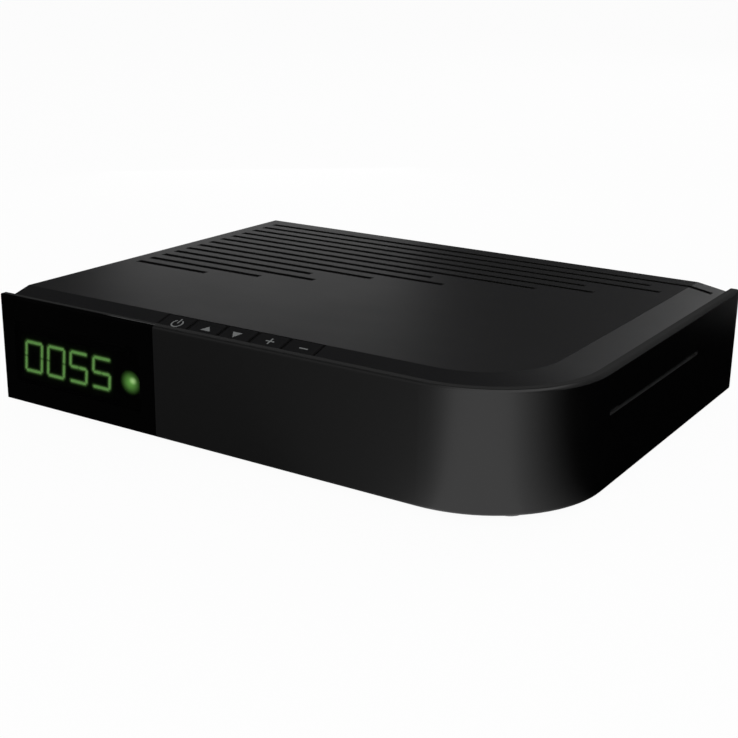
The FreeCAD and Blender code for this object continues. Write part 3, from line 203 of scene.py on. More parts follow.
def finish(name, colour, second=None, rough=0.4, spread=0.04, grains=2500.0, depth=0.00001,
           metal=0.0, level=0.5, marks=60.0, dust=0.0, coat=0.0):
    """A Principled material: drifting colour, drifting roughness, grain through a bump."""
    made = new_material(name)
    tree, skin = inside(made)
    second = second or tuple(SECOND_SHADE * channel for channel in colour)
    tint = add(tree, "ShaderNodeGroup", {"Base": colour, "Second": second, "Marks per metre": marks,
                                         "Dust": dust}, node_tree=DRIFT)
    polish = add(tree, "ShaderNodeGroup", {"Base": rough, "Spread": spread}, node_tree=GLOSS)
    feed(skin["Base Color"], tint.outputs[0])
    feed(skin["Roughness"], polish.outputs[0])
    if depth:
        texture = add(tree, "ShaderNodeGroup", {"Grains per metre": grains}, node_tree=GRAIN)
        bump = add(tree, "ShaderNodeBump", {"Height": texture.outputs[0], "Distance": depth,
                                            "Strength": BUMP_STRENGTH})
        feed(skin["Normal"], bump.outputs["Normal"])
    for slot, amount in (("Metallic", metal), ("Specular IOR Level", level), ("Coat Weight", coat)):
        feed(skin[slot], amount)
    return made


def wear(material, *names):
    """Puts one material on several nodes."""
    for name in names:
        NODES[name].data.materials.clear()
        NODES[name].data.materials.append(material)


# %% [markdown]
# ## The enclosure
# The plate is gloss black plastic: almost no colour of its own, smooth, with a trace of wipe
# marks. The lid and the keys are spark-eroded matt plastic, so their grain scatters the light.
# The tray is the same plastic with a coarser, cheaper texture, and the rear is painted steel.
# Edges and slots get painted shade, darker than the open faces, and the card groove a painted highlight.
# The solids' meshes stay as they are, so each finish works out such places from the object's own
# coordinates: a test on a coordinate is a mask.

# %% Gloss plate with its dull rims and a painted highlight in the card groove
NEAR = 0.0001
RIM_TONE, RIM_DEPTH, RIM_STARTS, RIM_FULL = 0.0006, 0.0011, 0.008, 0.001
CARD_UP, CARD_FROM, CARD_TO = 0.0234, 0.040, 0.114
# The card groove's floor gets a painted highlight: its paler tone, roughness, depth in from the right
# face and reach below the card line.
GROOVE_HIGHLIGHT_TONE, GROOVE_ROUGH, GROOVE_IN, GROOVE_DOWN = 0.011, 0.6, 0.0012, 0.0009


def shade(made, share, tone, rough=1.0):
    """Mixes a finish towards a grey tone and a roughness, by a mask: painted shade, a painted highlight
    or a dull rim.
    """
    tree, skin = inside(made)
    for slot, kind, end in (("Base Color", "RGBA", (tone, tone, tone)), ("Roughness", "FLOAT", rough)):
        feed(skin[slot], mixed(tree, kind, share, skin[slot].links[0].from_socket, end))


def fascia_finish():
    """Gloss plastic, dull on the top edge and the right rim, with a painted highlight on the card
    groove's floor.
    """
    made = finish("Gloss fascia plastic", (0.0006, 0.0006, 0.00065), rough=0.29, spread=0.02,
                  grains=300.0, depth=0.000001, level=0.60, dust=0.004)
    tree, _ = inside(made)
    across, along, up = object_axes(tree)
    (_, front, low), (right, _, high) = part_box("front_fascia")
    shade(made, within(tree, (up, high - NEAR, high + NEAR)), RIM_TONE)
    side = ease(tree, across, right - RIM_STARTS, right - RIM_FULL)
    rim = within(tree, (up, high - RIM_DEPTH, high + NEAR))
    shade(made, maths(tree, "MULTIPLY", side, rim), RIM_TONE)
    card = low + CARD_UP
    groove = within(tree, (across, right - GROOVE_IN, right - NEAR),
                    (up, card - GROOVE_DOWN, card - NEAR),
                    (along, front + CARD_FROM, front + CARD_TO))
    # Painted highlight: the groove's floor is mixed to the paler tone.
    shade(made, groove, GROOVE_HIGHLIGHT_TONE, GROOVE_ROUGH)
    return made


wear(fascia_finish(), "front_fascia")
print("masked finish:", NODES["front_fascia"].data.materials[0].name)

# %% Matt lid with painted shade in its slots
SLOT_START, SLOT_FIRST, SLOT_PITCH = -0.0907, -0.0211, 0.0068
SLOT_ENDS = (-0.0602, -0.0417, -0.0234, -0.0294, -0.0085, 0.0160, 0.0077, 0.0443, 0.0625, 0.0564,
             0.0807, 0.0747, 0.0940)
# Painted shade along each slot row, wider than the slot: half width of the dark band, its soft edge,
# spare length at the ends and its tone.
SLOT_SHADE_HALF, SLOT_SHADE_SOFT, SLOT_SPARE, SLOT_SHADE_TONE = 0.0014, 0.0002, 0.0005, 0.0003
LID_SPAN, LID_RIGHT = 0.2, 0.1


def lid_finish():
    """Matt lid plastic with painted shade, near black, in its slots and along their rounded rims.

    The row is n = floor((y - first) / pitch + 1/2), and the mask is 1 within 1.4 mm of that row's
    middle line, between the common left end and the row's own right end. The right ends are the
    steps of a colour ramp, as shares of the lid's span.
    """
    made = finish("Matt lid plastic", (0.0055, 0.0055, 0.0059), rough=0.44, spread=0.04,
                  grains=2600.0, depth=0.000012, level=0.20, dust=0.02)
    tree, _ = inside(made)
    across, along, _ = object_axes(tree)
    steps = maths(tree, "DIVIDE", maths(tree, "SUBTRACT", along, SLOT_FIRST), SLOT_PITCH)
    row = maths(tree, "FLOOR", maths(tree, "ADD", steps, 0.5))
    off = maths(tree, "MULTIPLY", maths(tree, "SUBTRACT", steps, row), SLOT_PITCH)
    beside = ease(tree, maths(tree, "ABSOLUTE", off), SLOT_SHADE_HALF + SLOT_SHADE_SOFT, SLOT_SHADE_HALF - SLOT_SHADE_SOFT)
    rows = len(SLOT_ENDS)
    share = maths(tree, "DIVIDE", maths(tree, "ADD", row, 0.5), float(rows))
    ends = add(tree, "ShaderNodeValToRGB", {"Fac": share})
    ends.color_ramp.interpolation = "CONSTANT"
    for number, end in enumerate(SLOT_ENDS):
        place, tone = number / rows, (end - SLOT_START) / LID_SPAN
        stop = ends.color_ramp.elements[number] if number < 2 else ends.color_ramp.elements.new(place)
        stop.position, stop.color = place, (tone, tone, tone, 1)
    run = maths(tree, "DIVIDE", maths(tree, "SUBTRACT", across, SLOT_START), LID_SPAN)
    last = maths(tree, "ADD", ends.outputs["Color"], SLOT_SPARE / LID_SPAN)
    region = within(tree, (across, SLOT_START - SLOT_SPARE, LID_RIGHT), (row, -0.5, rows - 0.5))
    before = maths(tree, "MULTIPLY", maths(tree, "LESS_THAN", run, last), region)
    # Painted shade: the band along each row is mixed to near black and fully rough.
    shade(made, maths(tree, "MULTIPLY", beside, before), SLOT_SHADE_TONE)
    return made


wear(lid_finish(), "top_cover")
print("slots", len(SLOT_ENDS), "dark rims", 2 * SLOT_SHADE_HALF)

# %% Keys, tray, rear and feet
KEY_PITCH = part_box("key_up")[0][0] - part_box("key_power")[0][0]
KEY_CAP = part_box("key_power")[1][0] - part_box("key_power")[0][0]
# Painted shade on the keys' side edges: its tone, and how far in it starts and is full.
EDGE_SHADE_TONE, EDGE_SHADE_STARTS, EDGE_SHADE_FULL = 0.0005, 0.0009, 0.0002


def key_finish():
    """Satin key plastic with painted shade on its rounded side edges.

    The place on a key is u = (x - first key's left) modulo the pitch. The mask is 1 at both
    edges of the cap and runs out 0.9 mm inside them.
    """
    made = finish("Satin key plastic", (0.0045, 0.0045, 0.0048), rough=0.46, grains=2600.0,
                  depth=0.000006, level=0.16)
    tree, _ = inside(made)
    run = maths(tree, "SUBTRACT", object_axes(tree)[0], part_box("key_power")[0][0])
    along = maths(tree, "MODULO", run, KEY_PITCH)
    inward = maths(tree, "MINIMUM", along, maths(tree, "SUBTRACT", KEY_CAP, along))
    # Painted shade: both side edges of each cap are mixed to near black.
    shade(made, ease(tree, inward, EDGE_SHADE_STARTS, EDGE_SHADE_FULL), EDGE_SHADE_TONE)
    return made


wear(key_finish(), "key_power", "key_up", "key_down", "key_plus", "key_minus")
wear(finish("Tray plastic", (0.012, 0.012, 0.0125), rough=0.55, grains=1400.0, depth=0.00002,
            level=0.3, dust=0.03), "base_tray")
wear(finish("Painted rear sheet", (0.020, 0.020, 0.021), rough=0.38, grains=1800.0,
            depth=0.00003, level=0.45, dust=0.02), "rear_panel")
wear(finish("Foot rubber", (0.012, 0.012, 0.012), (0.02, 0.02, 0.019), rough=0.75, grains=3000.0,
            depth=0.00003, level=0.3, dust=0.05), "rubber_feet")
print("key pitch", round(KEY_PITCH, 5), "cap", round(KEY_CAP, 5))

# %% [markdown]
# ## Metals, boards and small parts
# Plated parts differ in colour more than in shape: zinc is bluish, nickel is warm, tinned sheet
# is dull. The boards wear green or black solder mask over copper tracks, which show as a slightly
# lighter grid of lines, so the board's colour is a brick pattern.

# %% Metal and plastic parts
wear(finish("Zinc plate", (0.55, 0.57, 0.60), rough=0.32, metal=1.0, grains=1500.0, marks=400.0),
     "case_screws", "rear_screws", "board_screws", "key_board_screws")
wear(finish("Tinned sheet", (0.60, 0.60, 0.57), rough=0.40, spread=0.12, metal=1.0, marks=180.0),
     "tuner_can", "tuner_lid", "scart_socket", "card_board_posts")
wear(finish("Nickel plate", (0.66, 0.62, 0.55), rough=0.24, metal=1.0, marks=300.0),
     "lnb_in_socket", "lnb_out_socket", "lnb_nuts", "hdmi_socket", "usb_socket", "dc_pin")
wear(finish("Black anodised sink", (0.05, 0.05, 0.055), rough=0.45, metal=0.8, marks=200.0),
     "heat_sink")
wear(finish("Moulded epoxy", (0.016, 0.016, 0.017), rough=0.5, grains=3500.0, depth=0.00001,
            level=0.4), "processor", "memory_chips", "flash_chip", "power_inductors",
     "tact_switches", "plunger_power", "plunger_up", "plunger_down", "plunger_plus", "plunger_minus")
wear(finish("Sensor lens", (0.0012, 0.0010, 0.0014), rough=0.3, level=0.02, depth=0), "ir_receiver")
wear(finish("Socket plastic", (0.014, 0.014, 0.014), rough=0.45, grains=2200.0, level=0.4),
     "scart_insert", "spdif_socket", "dc_inlet", "card_reader", "cable_headers")
wear(finish("Can sleeve", (0.02, 0.022, 0.06), rough=0.28, coat=0.3, marks=150.0), "capacitors")
wear(finish("Ribbon cable", (0.45, 0.45, 0.47), rough=0.5, marks=900.0), "key_cable")

# %% Circuit boards
TRACKS_PER_METRE, TRACK_WIDTH, MASK_CHANGE = 90.0, 0.035, 1.15


def board_finish(name, mask, tracks_tone):
    """Solder mask over tracks: brick lines of a lighter shade, drifting gloss."""
    made = finish(name, mask, rough=0.30, level=0.5, coat=0.4)
    tree, skin = inside(made)
    tracks = add(tree, "ShaderNodeTexBrick",
                 {"Vector": object_place(tree), "Scale": TRACKS_PER_METRE, "Mortar Size": TRACK_WIDTH,
                  "Color1": mask, "Color2": tuple(MASK_CHANGE * channel for channel in mask),
                  "Mortar": tracks_tone}, offset=0.35, squash=0.6, squash_frequency=3)
    feed(skin["Base Color"], tracks.outputs["Color"])
    return made


wear(board_finish("Green board", (0.010, 0.075, 0.028), (0.035, 0.17, 0.07)),
     "main_board", "key_board", "card_board")
wear(board_finish("Black board", (0.002, 0.002, 0.0022), (0.004, 0.004, 0.004)), "front_board")
print("finishes", len(bpy.data.materials))

# %% [markdown]
# ## The display window and its light
# The window is a thin pane of smoked acrylic: it looks black, hides the module and lets the
# lit bars through. A refracting glass would move the digits, so the pane is a plain dark
# surface that is partly see-through, and only over the display, the lamp and the sensor: its
# border is printed black. The bars glow pale green, and the smoke spreads a soft halo round them.

# %% Window, module and bars
CLEAR_SHARE, CLEAR_MARGIN = 0.32, 0.001


def window_finish():
    """Near-black pane with a printed black border: partly see-through over display and lamp."""
    made = finish("Smoked acrylic", (0.0004, 0.0004, 0.0004), rough=0.10, spread=0.02, depth=0,
                  level=0.03)
    tree, skin = inside(made)
    across, _, up = object_axes(tree)
    (left, _, low), (_, _, high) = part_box("led_display")
    right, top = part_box("led_diffuser")[1][0], max(high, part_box("ir_receiver")[1][2])
    clear = within(tree, (across, left - CLEAR_MARGIN, right + CLEAR_MARGIN),
                   (up, low - CLEAR_MARGIN, top + CLEAR_MARGIN))
    feed(skin["Alpha"], maths(tree, "SUBTRACT", 1.0, maths(tree, "MULTIPLY", clear, CLEAR_SHARE)))
    made.surface_render_method = "BLENDED"
    return made


def light_finish(name, colour, core, edge, centre, reach, strength):
    """Emission that falls from a core colour to an edge colour with distance from a centre."""
    made = finish(name, colour, rough=0.35, depth=0)
    tree, skin = inside(made)
    gap = add(tree, "ShaderNodeVectorMath", {0: object_place(tree), 1: centre}, operation="DISTANCE")
    ramp = add(tree, "ShaderNodeValToRGB", {"Fac": maths(tree, "DIVIDE", gap.outputs["Value"], reach)})
    ramp.color_ramp.interpolation = "B_SPLINE"
    for stop, tone in zip(ramp.color_ramp.elements, (core, edge)):
        stop.color = (*tone, 1)
    feed(skin["Emission Color"], ramp.outputs["Color"])
    feed(skin["Emission Strength"], strength)
    return made


wear(window_finish(), "display_window")
wear(finish("Module face", (0.002, 0.002, 0.002), rough=0.6, level=0.02), "led_display")
wear(finish("Unlit bar", (0.0022, 0.0028, 0.0022), rough=0.4, level=0.02), "segments_dark")
wear(light_finish("Lit bar", (0.1, 0.5, 0.1), (0.50, 1.0, 0.31), (0.47, 0.96, 0.29),
                  middle("segments_lit"), 0.05, 2.0), "segments_lit")

# %% The lamp beside the digits
LAMP = middle("led_diffuser")
LAMP_RADIUS = (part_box("led_diffuser")[1][0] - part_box("led_diffuser")[0][0]) / 2
LAMP_GREEN, LAMP_POWER = (0.3, 0.9, 0.2), 1.15
# Each layer, the second a painted highlight: shift right and up from the lamp's centre, reach across and
# up, colour at its middle.
LAMP_GLOW_AND_HIGHLIGHT = (((0.0003, 0.0005), (0.0048, 0.0045), (0.9, 2.6, 0.47)),
              ((0.0012, 0.0012), (0.0021, 0.0017), (2.2, 3.0, 1.5)))


def lamp_finish():
    """Green disc that fades like a ball: a broad glowing falloff plus a painted highlight, a small hot
    spot up to the right.
    """
    made = finish("Lamp diffuser", (0.002, 0.004, 0.002), rough=0.5, depth=0, level=0.05)
    tree, skin = inside(made)
    place = object_place(tree)
    glow_and_highlight = []
    for shift, reach, colour in LAMP_GLOW_AND_HIGHLIGHT:
        centred = add(tree, "ShaderNodeMapping",
                      {"Vector": place, "Location": (LAMP[0] + shift[0], LAMP[1], LAMP[2] + shift[1]),
                       "Scale": (reach[0], 1.0, reach[1])}, vector_type="TEXTURE")
        gap = add(tree, "ShaderNodeVectorMath", {0: centred.outputs["Vector"]}, operation="LENGTH")
        fade = maths(tree, "POWER", ease(tree, gap.outputs["Value"], 1.0, 0.0), LAMP_POWER)
        glow_and_highlight.append(mixed(tree, "RGBA", fade, (0, 0, 0), colour))
    feed(skin["Emission Color"], mixed(tree, "RGBA", 1.0, *glow_and_highlight, blend_type="ADD", clamp_result=False))
    feed(skin["Emission Strength"], 1.0)
    return made


wear(lamp_finish(), "led_diffuser")
wear(light_finish("Lamp body", (0.1, 0.3, 0.1), LAMP_GREEN, LAMP_GREEN, LAMP, LAMP_RADIUS, 1.0),
     "status_led")
print("lamp centre", [round(v, 4) for v in LAMP], "radius", round(LAMP_RADIUS, 5))

# %% [markdown]
# ## The halo round the digits
# The smoked pane scatters the light of the bars, so each digit has soft edges and a green haze.
# The haze is a thin sheet just in front of the bars. Its brightness at a point comes from the
# distance to the nearest bar's centre line: strong on the line, half at 0.5 mm and gone after
# two. On the lines it is half clear, and away from them it is dark and solid, so that the bars
# show through it with soft edges and rounded corners.

# %% Distance to the bars
LIT_TEXT = "0055"
LIT_BARS = {"0": "abcdef", "5": "afgcd"}
BAR_ENDS = {"a": ((-1, 1), (1, 1)), "b": ((1, 1), (1, 0)), "c": ((1, 0), (1, -1)),
            "d": ((-1, -1), (1, -1)), "e": ((-1, 0), (-1, -1)), "f": ((-1, 1), (-1, 0)),
            "g": ((-1, 0), (1, 0))}
BAR_HALF_WIDTH, BAR_END_CUT = 0.00055, 0.00055
DIGITS_LOW, DIGITS_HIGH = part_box("segments_lit")
SLANT = math.tan(math.radians(5.5))
DIGIT_PITCH = 0.01013
HALF_UP = (DIGITS_HIGH[2] - DIGITS_LOW[2]) / 2 - BAR_HALF_WIDTH
HALF_ACROSS = 0.0036


def bar_lines(text):
    """Centre lines of the lit bars, cut short at both ends, which rounds the digits' corners."""
    across, _, up = middle("led_display")
    starts, ends = [], []
    for index, digit in enumerate(text):
        shift = across + (index - (len(text) - 1) / 2) * DIGIT_PITCH
        for bar in LIT_BARS[digit]:
            for store, (a, b) in zip((starts, ends), BAR_ENDS[bar]):
                store.append((shift + a * HALF_ACROSS + b * HALF_UP * SLANT, up + b * HALF_UP))
    starts, ends = np.array(starts), np.array(ends)
    runs = ends - starts
    cuts = BAR_END_CUT * runs / np.linalg.norm(runs, axis=1, keepdims=True)
    return starts + cuts, ends - cuts


def gap_to_lines(points, starts, ends):
    """Least distance of each point to the segments: |p - (s + t d)| with t held to 0..1."""
    runs = ends - starts
    offsets = points[:, None, :] - starts[None]
    shares = np.clip((offsets * runs).sum(-1) / (runs ** 2).sum(-1), 0, 1)
    return np.linalg.norm(offsets - shares[..., None] * runs, axis=-1).min(axis=1)


# %% The haze sheet
HAZE_COLUMNS, HAZE_ROWS, HAZE_GAP = 300, 116, 0.00005
CORE_SHARE, CORE_REACH, TAIL_SHARE, TAIL_REACH = 0.96, 0.0006, 0.03, 0.0009
HAZE_GREEN, HAZE_STRENGTH, HAZE_CLEAR = (0.42, 1.0, 0.25), 1.9, 0.5


def grid_mesh(name, points, store, values):
    """A quad mesh over points laid out in rows and columns, with a value stored at each point."""
    rows, columns, _ = points.shape
    corner = np.arange(rows - 1)[:, None] * columns + np.arange(columns - 1)[None]
    quads = np.stack([corner, corner + 1, corner + columns + 1, corner + columns], -1).reshape(-1, 4)
    mesh = bpy.data.meshes.new(name)
    mesh.from_pydata(points.reshape(-1, 3).tolist(), [], quads.tolist())
    mesh.attributes.new(store, "FLOAT", "POINT").data.foreach_set("value", values.astype(np.float32))
    return mesh


def put_in_scene(name, data):
    """A new object with this mesh, lamp or camera, linked to the scene."""
    thing = bpy.data.objects.new(name, data)
    bpy.context.scene.collection.objects.link(thing)
    return thing


def place_piece(name, mesh, material, body):
    """Links a mesh as a piece with its finish, riding on a body."""
    piece = put_in_scene(name, mesh)
    mesh.materials.append(material)
    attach(piece, body)


def haze_sheet():
    """Flat grid over the bars; brightness is exp(-(gap / 0.6 mm)^2) plus a weak, wider tail."""
    (left, _, bottom), (right, _, top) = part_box("led_display")
    across, up = np.meshgrid(np.linspace(left, right, HAZE_COLUMNS),
                             np.linspace(bottom, top, HAZE_ROWS))
    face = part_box("segments_lit")[0][1] - HAZE_GAP
    points = np.stack([across, np.full_like(across, face), up], -1)
    gaps = gap_to_lines(points.reshape(-1, 3)[:, [0, 2]], *bar_lines(LIT_TEXT))
    glow = CORE_SHARE * np.exp(-(gaps / CORE_REACH) ** 2) + TAIL_SHARE * np.exp(-gaps / TAIL_REACH)
    print("haze points", len(gaps), "strongest", round(float(glow.max()), 3))
    return grid_mesh("display_haze", points, "glow", glow)


def haze_finish():
    """Dark sheet whose emission is the glow attribute times a deep green, clearest where it glows."""
    made = finish("Display haze", (0.002, 0.002, 0.002), rough=0.6, level=0.02, depth=0)
    tree, skin = inside(made)
    glow = add(tree, "ShaderNodeAttribute", attribute_name="glow").outputs["Fac"]
    ramp = add(tree, "ShaderNodeValToRGB", {"Fac": glow})
    for stop, tone in zip(ramp.color_ramp.elements, ((0, 0, 0), HAZE_GREEN)):
        stop.color = (*tone, 1)
    feed(skin["Emission Color"], ramp.outputs["Color"])
    feed(skin["Emission Strength"], HAZE_STRENGTH)
    feed(skin["Alpha"], maths(tree, "SUBTRACT", 1.0, maths(tree, "MULTIPLY", glow, HAZE_CLEAR)))
    made.surface_render_method = "BLENDED"
    return made


place_piece("display_haze", haze_sheet(), haze_finish(), "case")

# %% [markdown]
# ## Printed marks on the keys
# The marks are pad-printed ink: a ring with a tick, two triangles, a plus and a minus. Ink lies
# about 0.02 mm proud of the key and follows its slope. Each mark is a thin closed plate: an
# outline in the plane of the key, raised along the key's own slope.

# %% The plane of the key tops
CAP_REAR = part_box("top_cover")[0][1] + 0.0060
CAP_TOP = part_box("key_power")[1][2]
KEY_RISE = 0.0018 / 0.0064
INK = 0.00002


def on_slope(points):
    """Lifts flat (across, along) points on to the key's top: height = rear height - rise * gap."""
    height = CAP_TOP - (CAP_REAR - points[:, 1]) * KEY_RISE
    return np.column_stack([points, height])


def plate_from_strips(name, strips):
    """A raised plate for each strip between two paths: top, underside, both sides and ends."""
    spots, faces = [], []
    lift = np.array([0, 0, INK])
    for left, right in strips:
        count, base = len(left), len(spots)
        near, far = on_slope(left), on_slope(right)
        spots.extend(np.concatenate([near + lift, far + lift, near - lift, far - lift]).tolist())
        a = base + np.arange(count - 1)
        b, c, d = a + count, a + 2 * count, a + 3 * count
        bands = [(a, b, b + 1, a + 1), (c, c + 1, d + 1, d), (a, a + 1, c + 1, c), (b, d, d + 1, b + 1)]
        faces.extend(np.concatenate([np.stack(band, 1) for band in bands]).tolist())
        for first in (0, count - 1):
            ends = [base + first + row * count for row in (0, 2, 3, 1)]
            faces.append(ends if first == 0 else ends[::-1])
    mesh = bpy.data.meshes.new(name)
    mesh.from_pydata(spots, [], faces)
    return mesh


# %% Outlines of the five marks
STROKE, TIP = 0.00048, 0.00001
RING_RADIUS, RING_FROM, RING_TO, RING_POINTS = 0.00205, 122, 418, 48
ARM = 0.0015
# Each mark's middle: right of its key's middle, and behind the middle of the keys' depth.
MARK_SHIFTS = {"power": (0.0006, -0.0002), "up": (0.0003, 0.0), "down": (-0.0006, -0.0002),
               "plus": (0.0003, 0.0), "minus": (0.0007, -0.0002)}


def arc_strip(centre, outer, width, start, end):
    """Strip along an arc: points centre + r (cos t, sin t) on two radii."""
    turn = np.radians(np.linspace(start, end, RING_POINTS))
    circle = np.column_stack([np.cos(turn), np.sin(turn)])
    return centre + (outer - width) * circle, centre + outer * circle


def bar_strip(start, end, first=STROKE, last=STROKE):
    """Strip along a straight line, half a width to each side; the width runs from first to last."""
    side = np.array([start[1] - end[1], end[0] - start[0]]) / 2 / np.linalg.norm(end - start)
    return (np.array([start + first * side, end + last * side]),
            np.array([start - first * side, end - last * side]))


def key_marks():
    """The strips of each key's mark, about the middle of the key."""
    ring, up, down, plus, minus = (
        np.array([middle("key_" + name)[0] + right, CAP_REAR - 0.0032 + back])
        for name, (right, back) in MARK_SHIFTS.items())
    return {
        "power": [arc_strip(ring - (0, 0.0004), RING_RADIUS, STROKE, RING_FROM, RING_TO),
                  bar_strip(ring - (0, 0.0003), ring + (0, 0.0021))],
        "up": [bar_strip(up + (0, 0.0010), up - (0, 0.0013), TIP, 0.0037)],
        "down": [bar_strip(down - (0, 0.0016), down + (0, 0.0012), TIP, 0.0035)],
        "plus": [bar_strip(plus - (ARM, 0), plus + (ARM, 0)),
                 bar_strip(plus + (0, STROKE / 2), plus + (0, ARM)),
                 bar_strip(plus - (0, ARM), plus - (0, STROKE / 2))],
        "minus": [bar_strip(minus - (ARM, 0), minus + (ARM, 0))],
    }


INK_FINISH = finish("Pad-printed ink", (0.14, 0.145, 0.145), rough=0.45, depth=0.000003,
                    level=0.3, marks=900.0)
for name, strips in key_marks().items():
    place_piece("mark_" + name, plate_from_strips("mark_" + name, strips), INK_FINISH, name + "_key")

# %% [markdown]
# ## The set
# The floor and the surroundings are white to the eye and in reflections, and the floor holds a
# weak shadow under the box. Three soft lamps light the box: one above the camera for the matt
# faces, one behind that grazes the lid and lights its sloped right margin, and a small one low at
# the rear left, whose sheen fades across the lid towards the front right.

# %% Floor and world
FLOOR_SIZE, FLOOR_TONE, FLOOR_WHITE = 12.0, 0.90, 0.955
WORLD_LIGHT = 0.4


def seen_plainly(tree):
    """1 where the camera, a reflection or a see-through part looks, 0 where light is gathered."""
    path = add(tree, "ShaderNodeLightPath").outputs
    return maths(tree, "MAXIMUM", path["Is Camera Ray"],
                 maths(tree, "MAXIMUM", path["Is Glossy Ray"], path["Is Transmission Ray"]))


def white_floor():
    """Wide pale floor: mostly even white, with a share of real shading that keeps a soft shadow."""
    bpy.ops.mesh.primitive_plane_add(size=FLOOR_SIZE, location=(0, 0, 0))
    floor = bpy.context.object
    floor.name = "floor"
    made = new_material("Floor paper")
    tree, skin = inside(made)
    feed(skin["Base Color"], (FLOOR_TONE, FLOOR_TONE, FLOOR_TONE))
    feed(skin["Roughness"], 0.9)
    feed(skin["Specular IOR Level"], 0.0)
    mix = add(tree, "ShaderNodeMixShader", {
        0: maths(tree, "MULTIPLY", seen_plainly(tree), FLOOR_WHITE),
        1: tree.nodes["Principled BSDF"].outputs[0],
        2: add(tree, "ShaderNodeEmission").outputs[0]})
    feed(tree.nodes["Material Output"].inputs["Surface"], mix.outputs[0])
    floor.data.materials.append(made)


def white_world():
    """Plain white to the eye and in reflections, a dimmer grey as a light."""
    world = bpy.data.worlds.new("Studio")
    bpy.context.scene.world = world
    world.use_nodes = True
    tree = world.node_tree
    back = tree.nodes["Background"].inputs
    feed(back["Color"], (1, 1, 1))
    shown = maths(tree, "MULTIPLY", seen_plainly(tree), 1 - WORLD_LIGHT)
    feed(back["Strength"], maths(tree, "ADD", shown, WORLD_LIGHT))


white_floor()
white_world()

# %% [markdown]
# ## Flags for the gloss plastic
# Gloss black plastic shows its surroundings. In a product shoot dark cards, called flags, are
# laid beside such a part so that it stays black, and a gap between them lets the white floor
# draw one soft highlight down the rounded corner. A dark tent behind keeps the lid from turning
# grey, and opens towards the front and the right. All of these are seen by reflections only.

# %% Flags
CORNER_RADIUS = 0.0385
CORNER = (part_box("front_fascia")[1][0] - CORNER_RADIUS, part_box("front_fascia")[0][1] + CORNER_RADIUS)
CARD_COLUMNS, TENT_ROWS, FLAG_LIFT = 60, 12, 0.0008
FLAG_REACH = np.array([0.036, 0.05, 0.12, 0.22, 0.34, 0.42, 0.46, 0.46])[:, None]
FLAG_RISE = np.array([0.0, 0.0, 0.0, 0.0, 0.0, 0.025, 0.12, 1.0])[:, None]


def card_sheet(name, points, degrees, greys):
    """Card seen only by reflections; its grey is read along the angle from a short table."""
    tones = np.interp(degrees, sorted(greys), [greys[angle] for angle in sorted(greys)])
    mesh = grid_mesh(name, points, "tone", np.tile(tones, len(points)))
    made = new_material(name + " card")
    tree, _ = inside(made)
    tone = add(tree, "ShaderNodeAttribute", attribute_name="tone").outputs["Fac"]
    glow = add(tree, "ShaderNodeEmission", {"Strength": tone})
    feed(tree.nodes["Material Output"].inputs["Surface"], glow.outputs[0])
    mesh.materials.append(made)
    sheet = put_in_scene(name, mesh)
    sheet.visible_camera = sheet.visible_diffuse = False
    sheet.visible_shadow = sheet.visible_transmission = False


def floor_flag(name, greys, wall):
    """Card about the corner's centre: centre + r (sin t, -cos t) at a height h, t from the front.

    r and h follow one profile: the card lies flat, then turns up to the height of its wall.
    """
    degrees = np.linspace(min(greys), max(greys), CARD_COLUMNS)
    turn = np.radians(degrees)[None, :]
    rise = wall * FLAG_RISE + FLAG_LIFT
    points = np.stack([CORNER[0] + FLAG_REACH * np.sin(turn), CORNER[1] - FLAG_REACH * np.cos(turn),
                       rise + 0 * turn], -1)
    card_sheet(name, points, degrees, greys)


def tent(name, greys, low, high, radius):
    """Part of a sphere about the box: r (sin t cos e, -cos t cos e, sin e), e from low to high."""
    degrees = np.linspace(min(greys), max(greys), CARD_COLUMNS)
    turn, lift = np.radians(degrees)[None, :], np.radians(np.linspace(low, high, TENT_ROWS))[:, None]
    points = radius * np.stack([np.sin(turn) * np.cos(lift), -np.cos(turn) * np.cos(lift),
                                np.sin(lift) + 0 * turn], -1)
    card_sheet(name, points, degrees, greys)


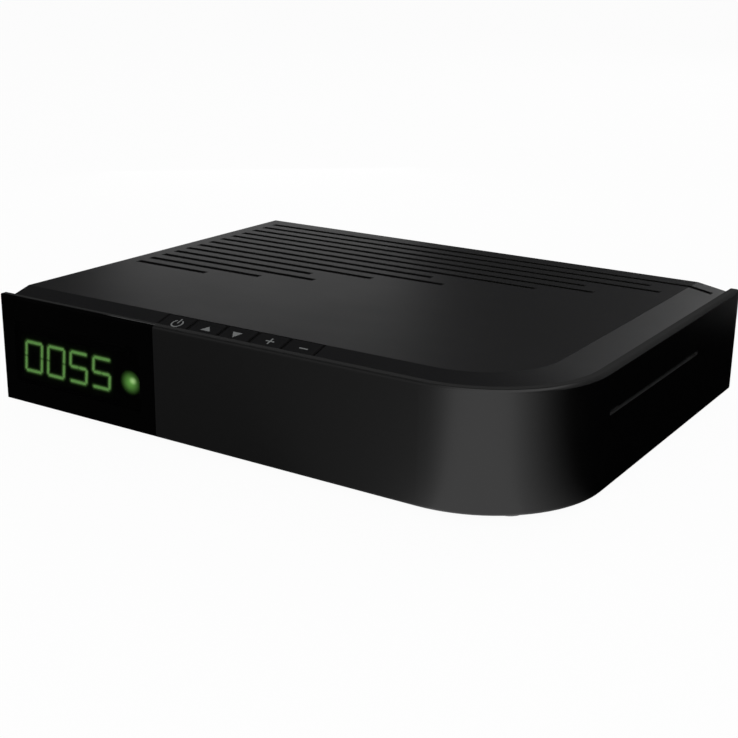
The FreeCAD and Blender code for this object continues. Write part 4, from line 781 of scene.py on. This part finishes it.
floor_flag("right flag", {48: 0.85, 60: 0.52, 70: 0.28, 80: 0.10, 90: 0.01, 96: 0.0, 168: 0.0}, 0.25)
floor_flag("back flag", {-178: 0.02, -101: 0.02}, 0.0)
floor_flag("left flag", {-100: 0.06, -50: 0.10, -40: 0.16, -30: 0.19, -20: 0.23, -12: 0.3,
                         -4: 0.48, 4: 0.8}, 0.15)
tent("dark tent", {-215: 0.08, -190: 0.08, -178: 0.04, -100: 0.04, -60: 0.2, -35: 0.32, -5: 0.32},
     1.0, 74.0, 2.4)

# %% Lamps and camera
def soft_lamp(name, azimuth, height, distance, size, watts):
    """Square area lamp aimed at the box; azimuth runs from the front towards the right."""
    turn, lift = math.radians(azimuth), math.radians(height)
    place = Vector((math.sin(turn) * math.cos(lift), -math.cos(turn) * math.cos(lift),
                    math.sin(lift))) * distance
    data = bpy.data.lights.new(name, "AREA")
    data.size = size
    data.energy = watts
    lamp = put_in_scene(name, data)
    aim = place.to_track_quat("Z", "Y").to_matrix().to_4x4()
    lamp.matrix_world = Matrix.Translation(place) @ aim
    return lamp


soft_lamp("Corner lamp", 27.0, 28.0, 1.6, 0.5, 14.0).visible_glossy = False
soft_lamp("Rear lamp", 172.0, 26.0, 1.7, 0.7, 5.5)
soft_lamp("Sheen lamp", 222.0, 9.0, 0.5, 0.22, 0.13)


def camera_at(place, yaw, pitch, roll, lens):
    """Camera from its place, its turn about the upright, its tilt down and its roll, in degrees."""
    yaw, pitch, roll = (math.radians(angle) for angle in (yaw, pitch, roll))
    forward = Vector((-math.sin(yaw) * math.cos(pitch), math.cos(yaw) * math.cos(pitch),
                      -math.sin(pitch)))
    level = Vector((math.cos(yaw), math.sin(yaw), 0))
    upright = level.cross(forward)
    right = math.cos(roll) * level + math.sin(roll) * upright
    up = -math.sin(roll) * level + math.cos(roll) * upright
    data = bpy.data.cameras.new("Camera")
    data.lens = lens
    data.sensor_width = 36.0
    data.clip_start = 0.01
    camera = put_in_scene("Camera", data)
    aim = Matrix((right, up, -forward)).transposed().to_4x4()
    camera.matrix_world = Matrix.Translation(place) @ aim
    bpy.context.scene.camera = camera


camera_at(Vector((0.2294, -0.3662, 0.1489)), yaw=32.605, pitch=17.696, roll=0.82, lens=63.8)
bpy.context.scene.view_settings.view_transform = "Standard"
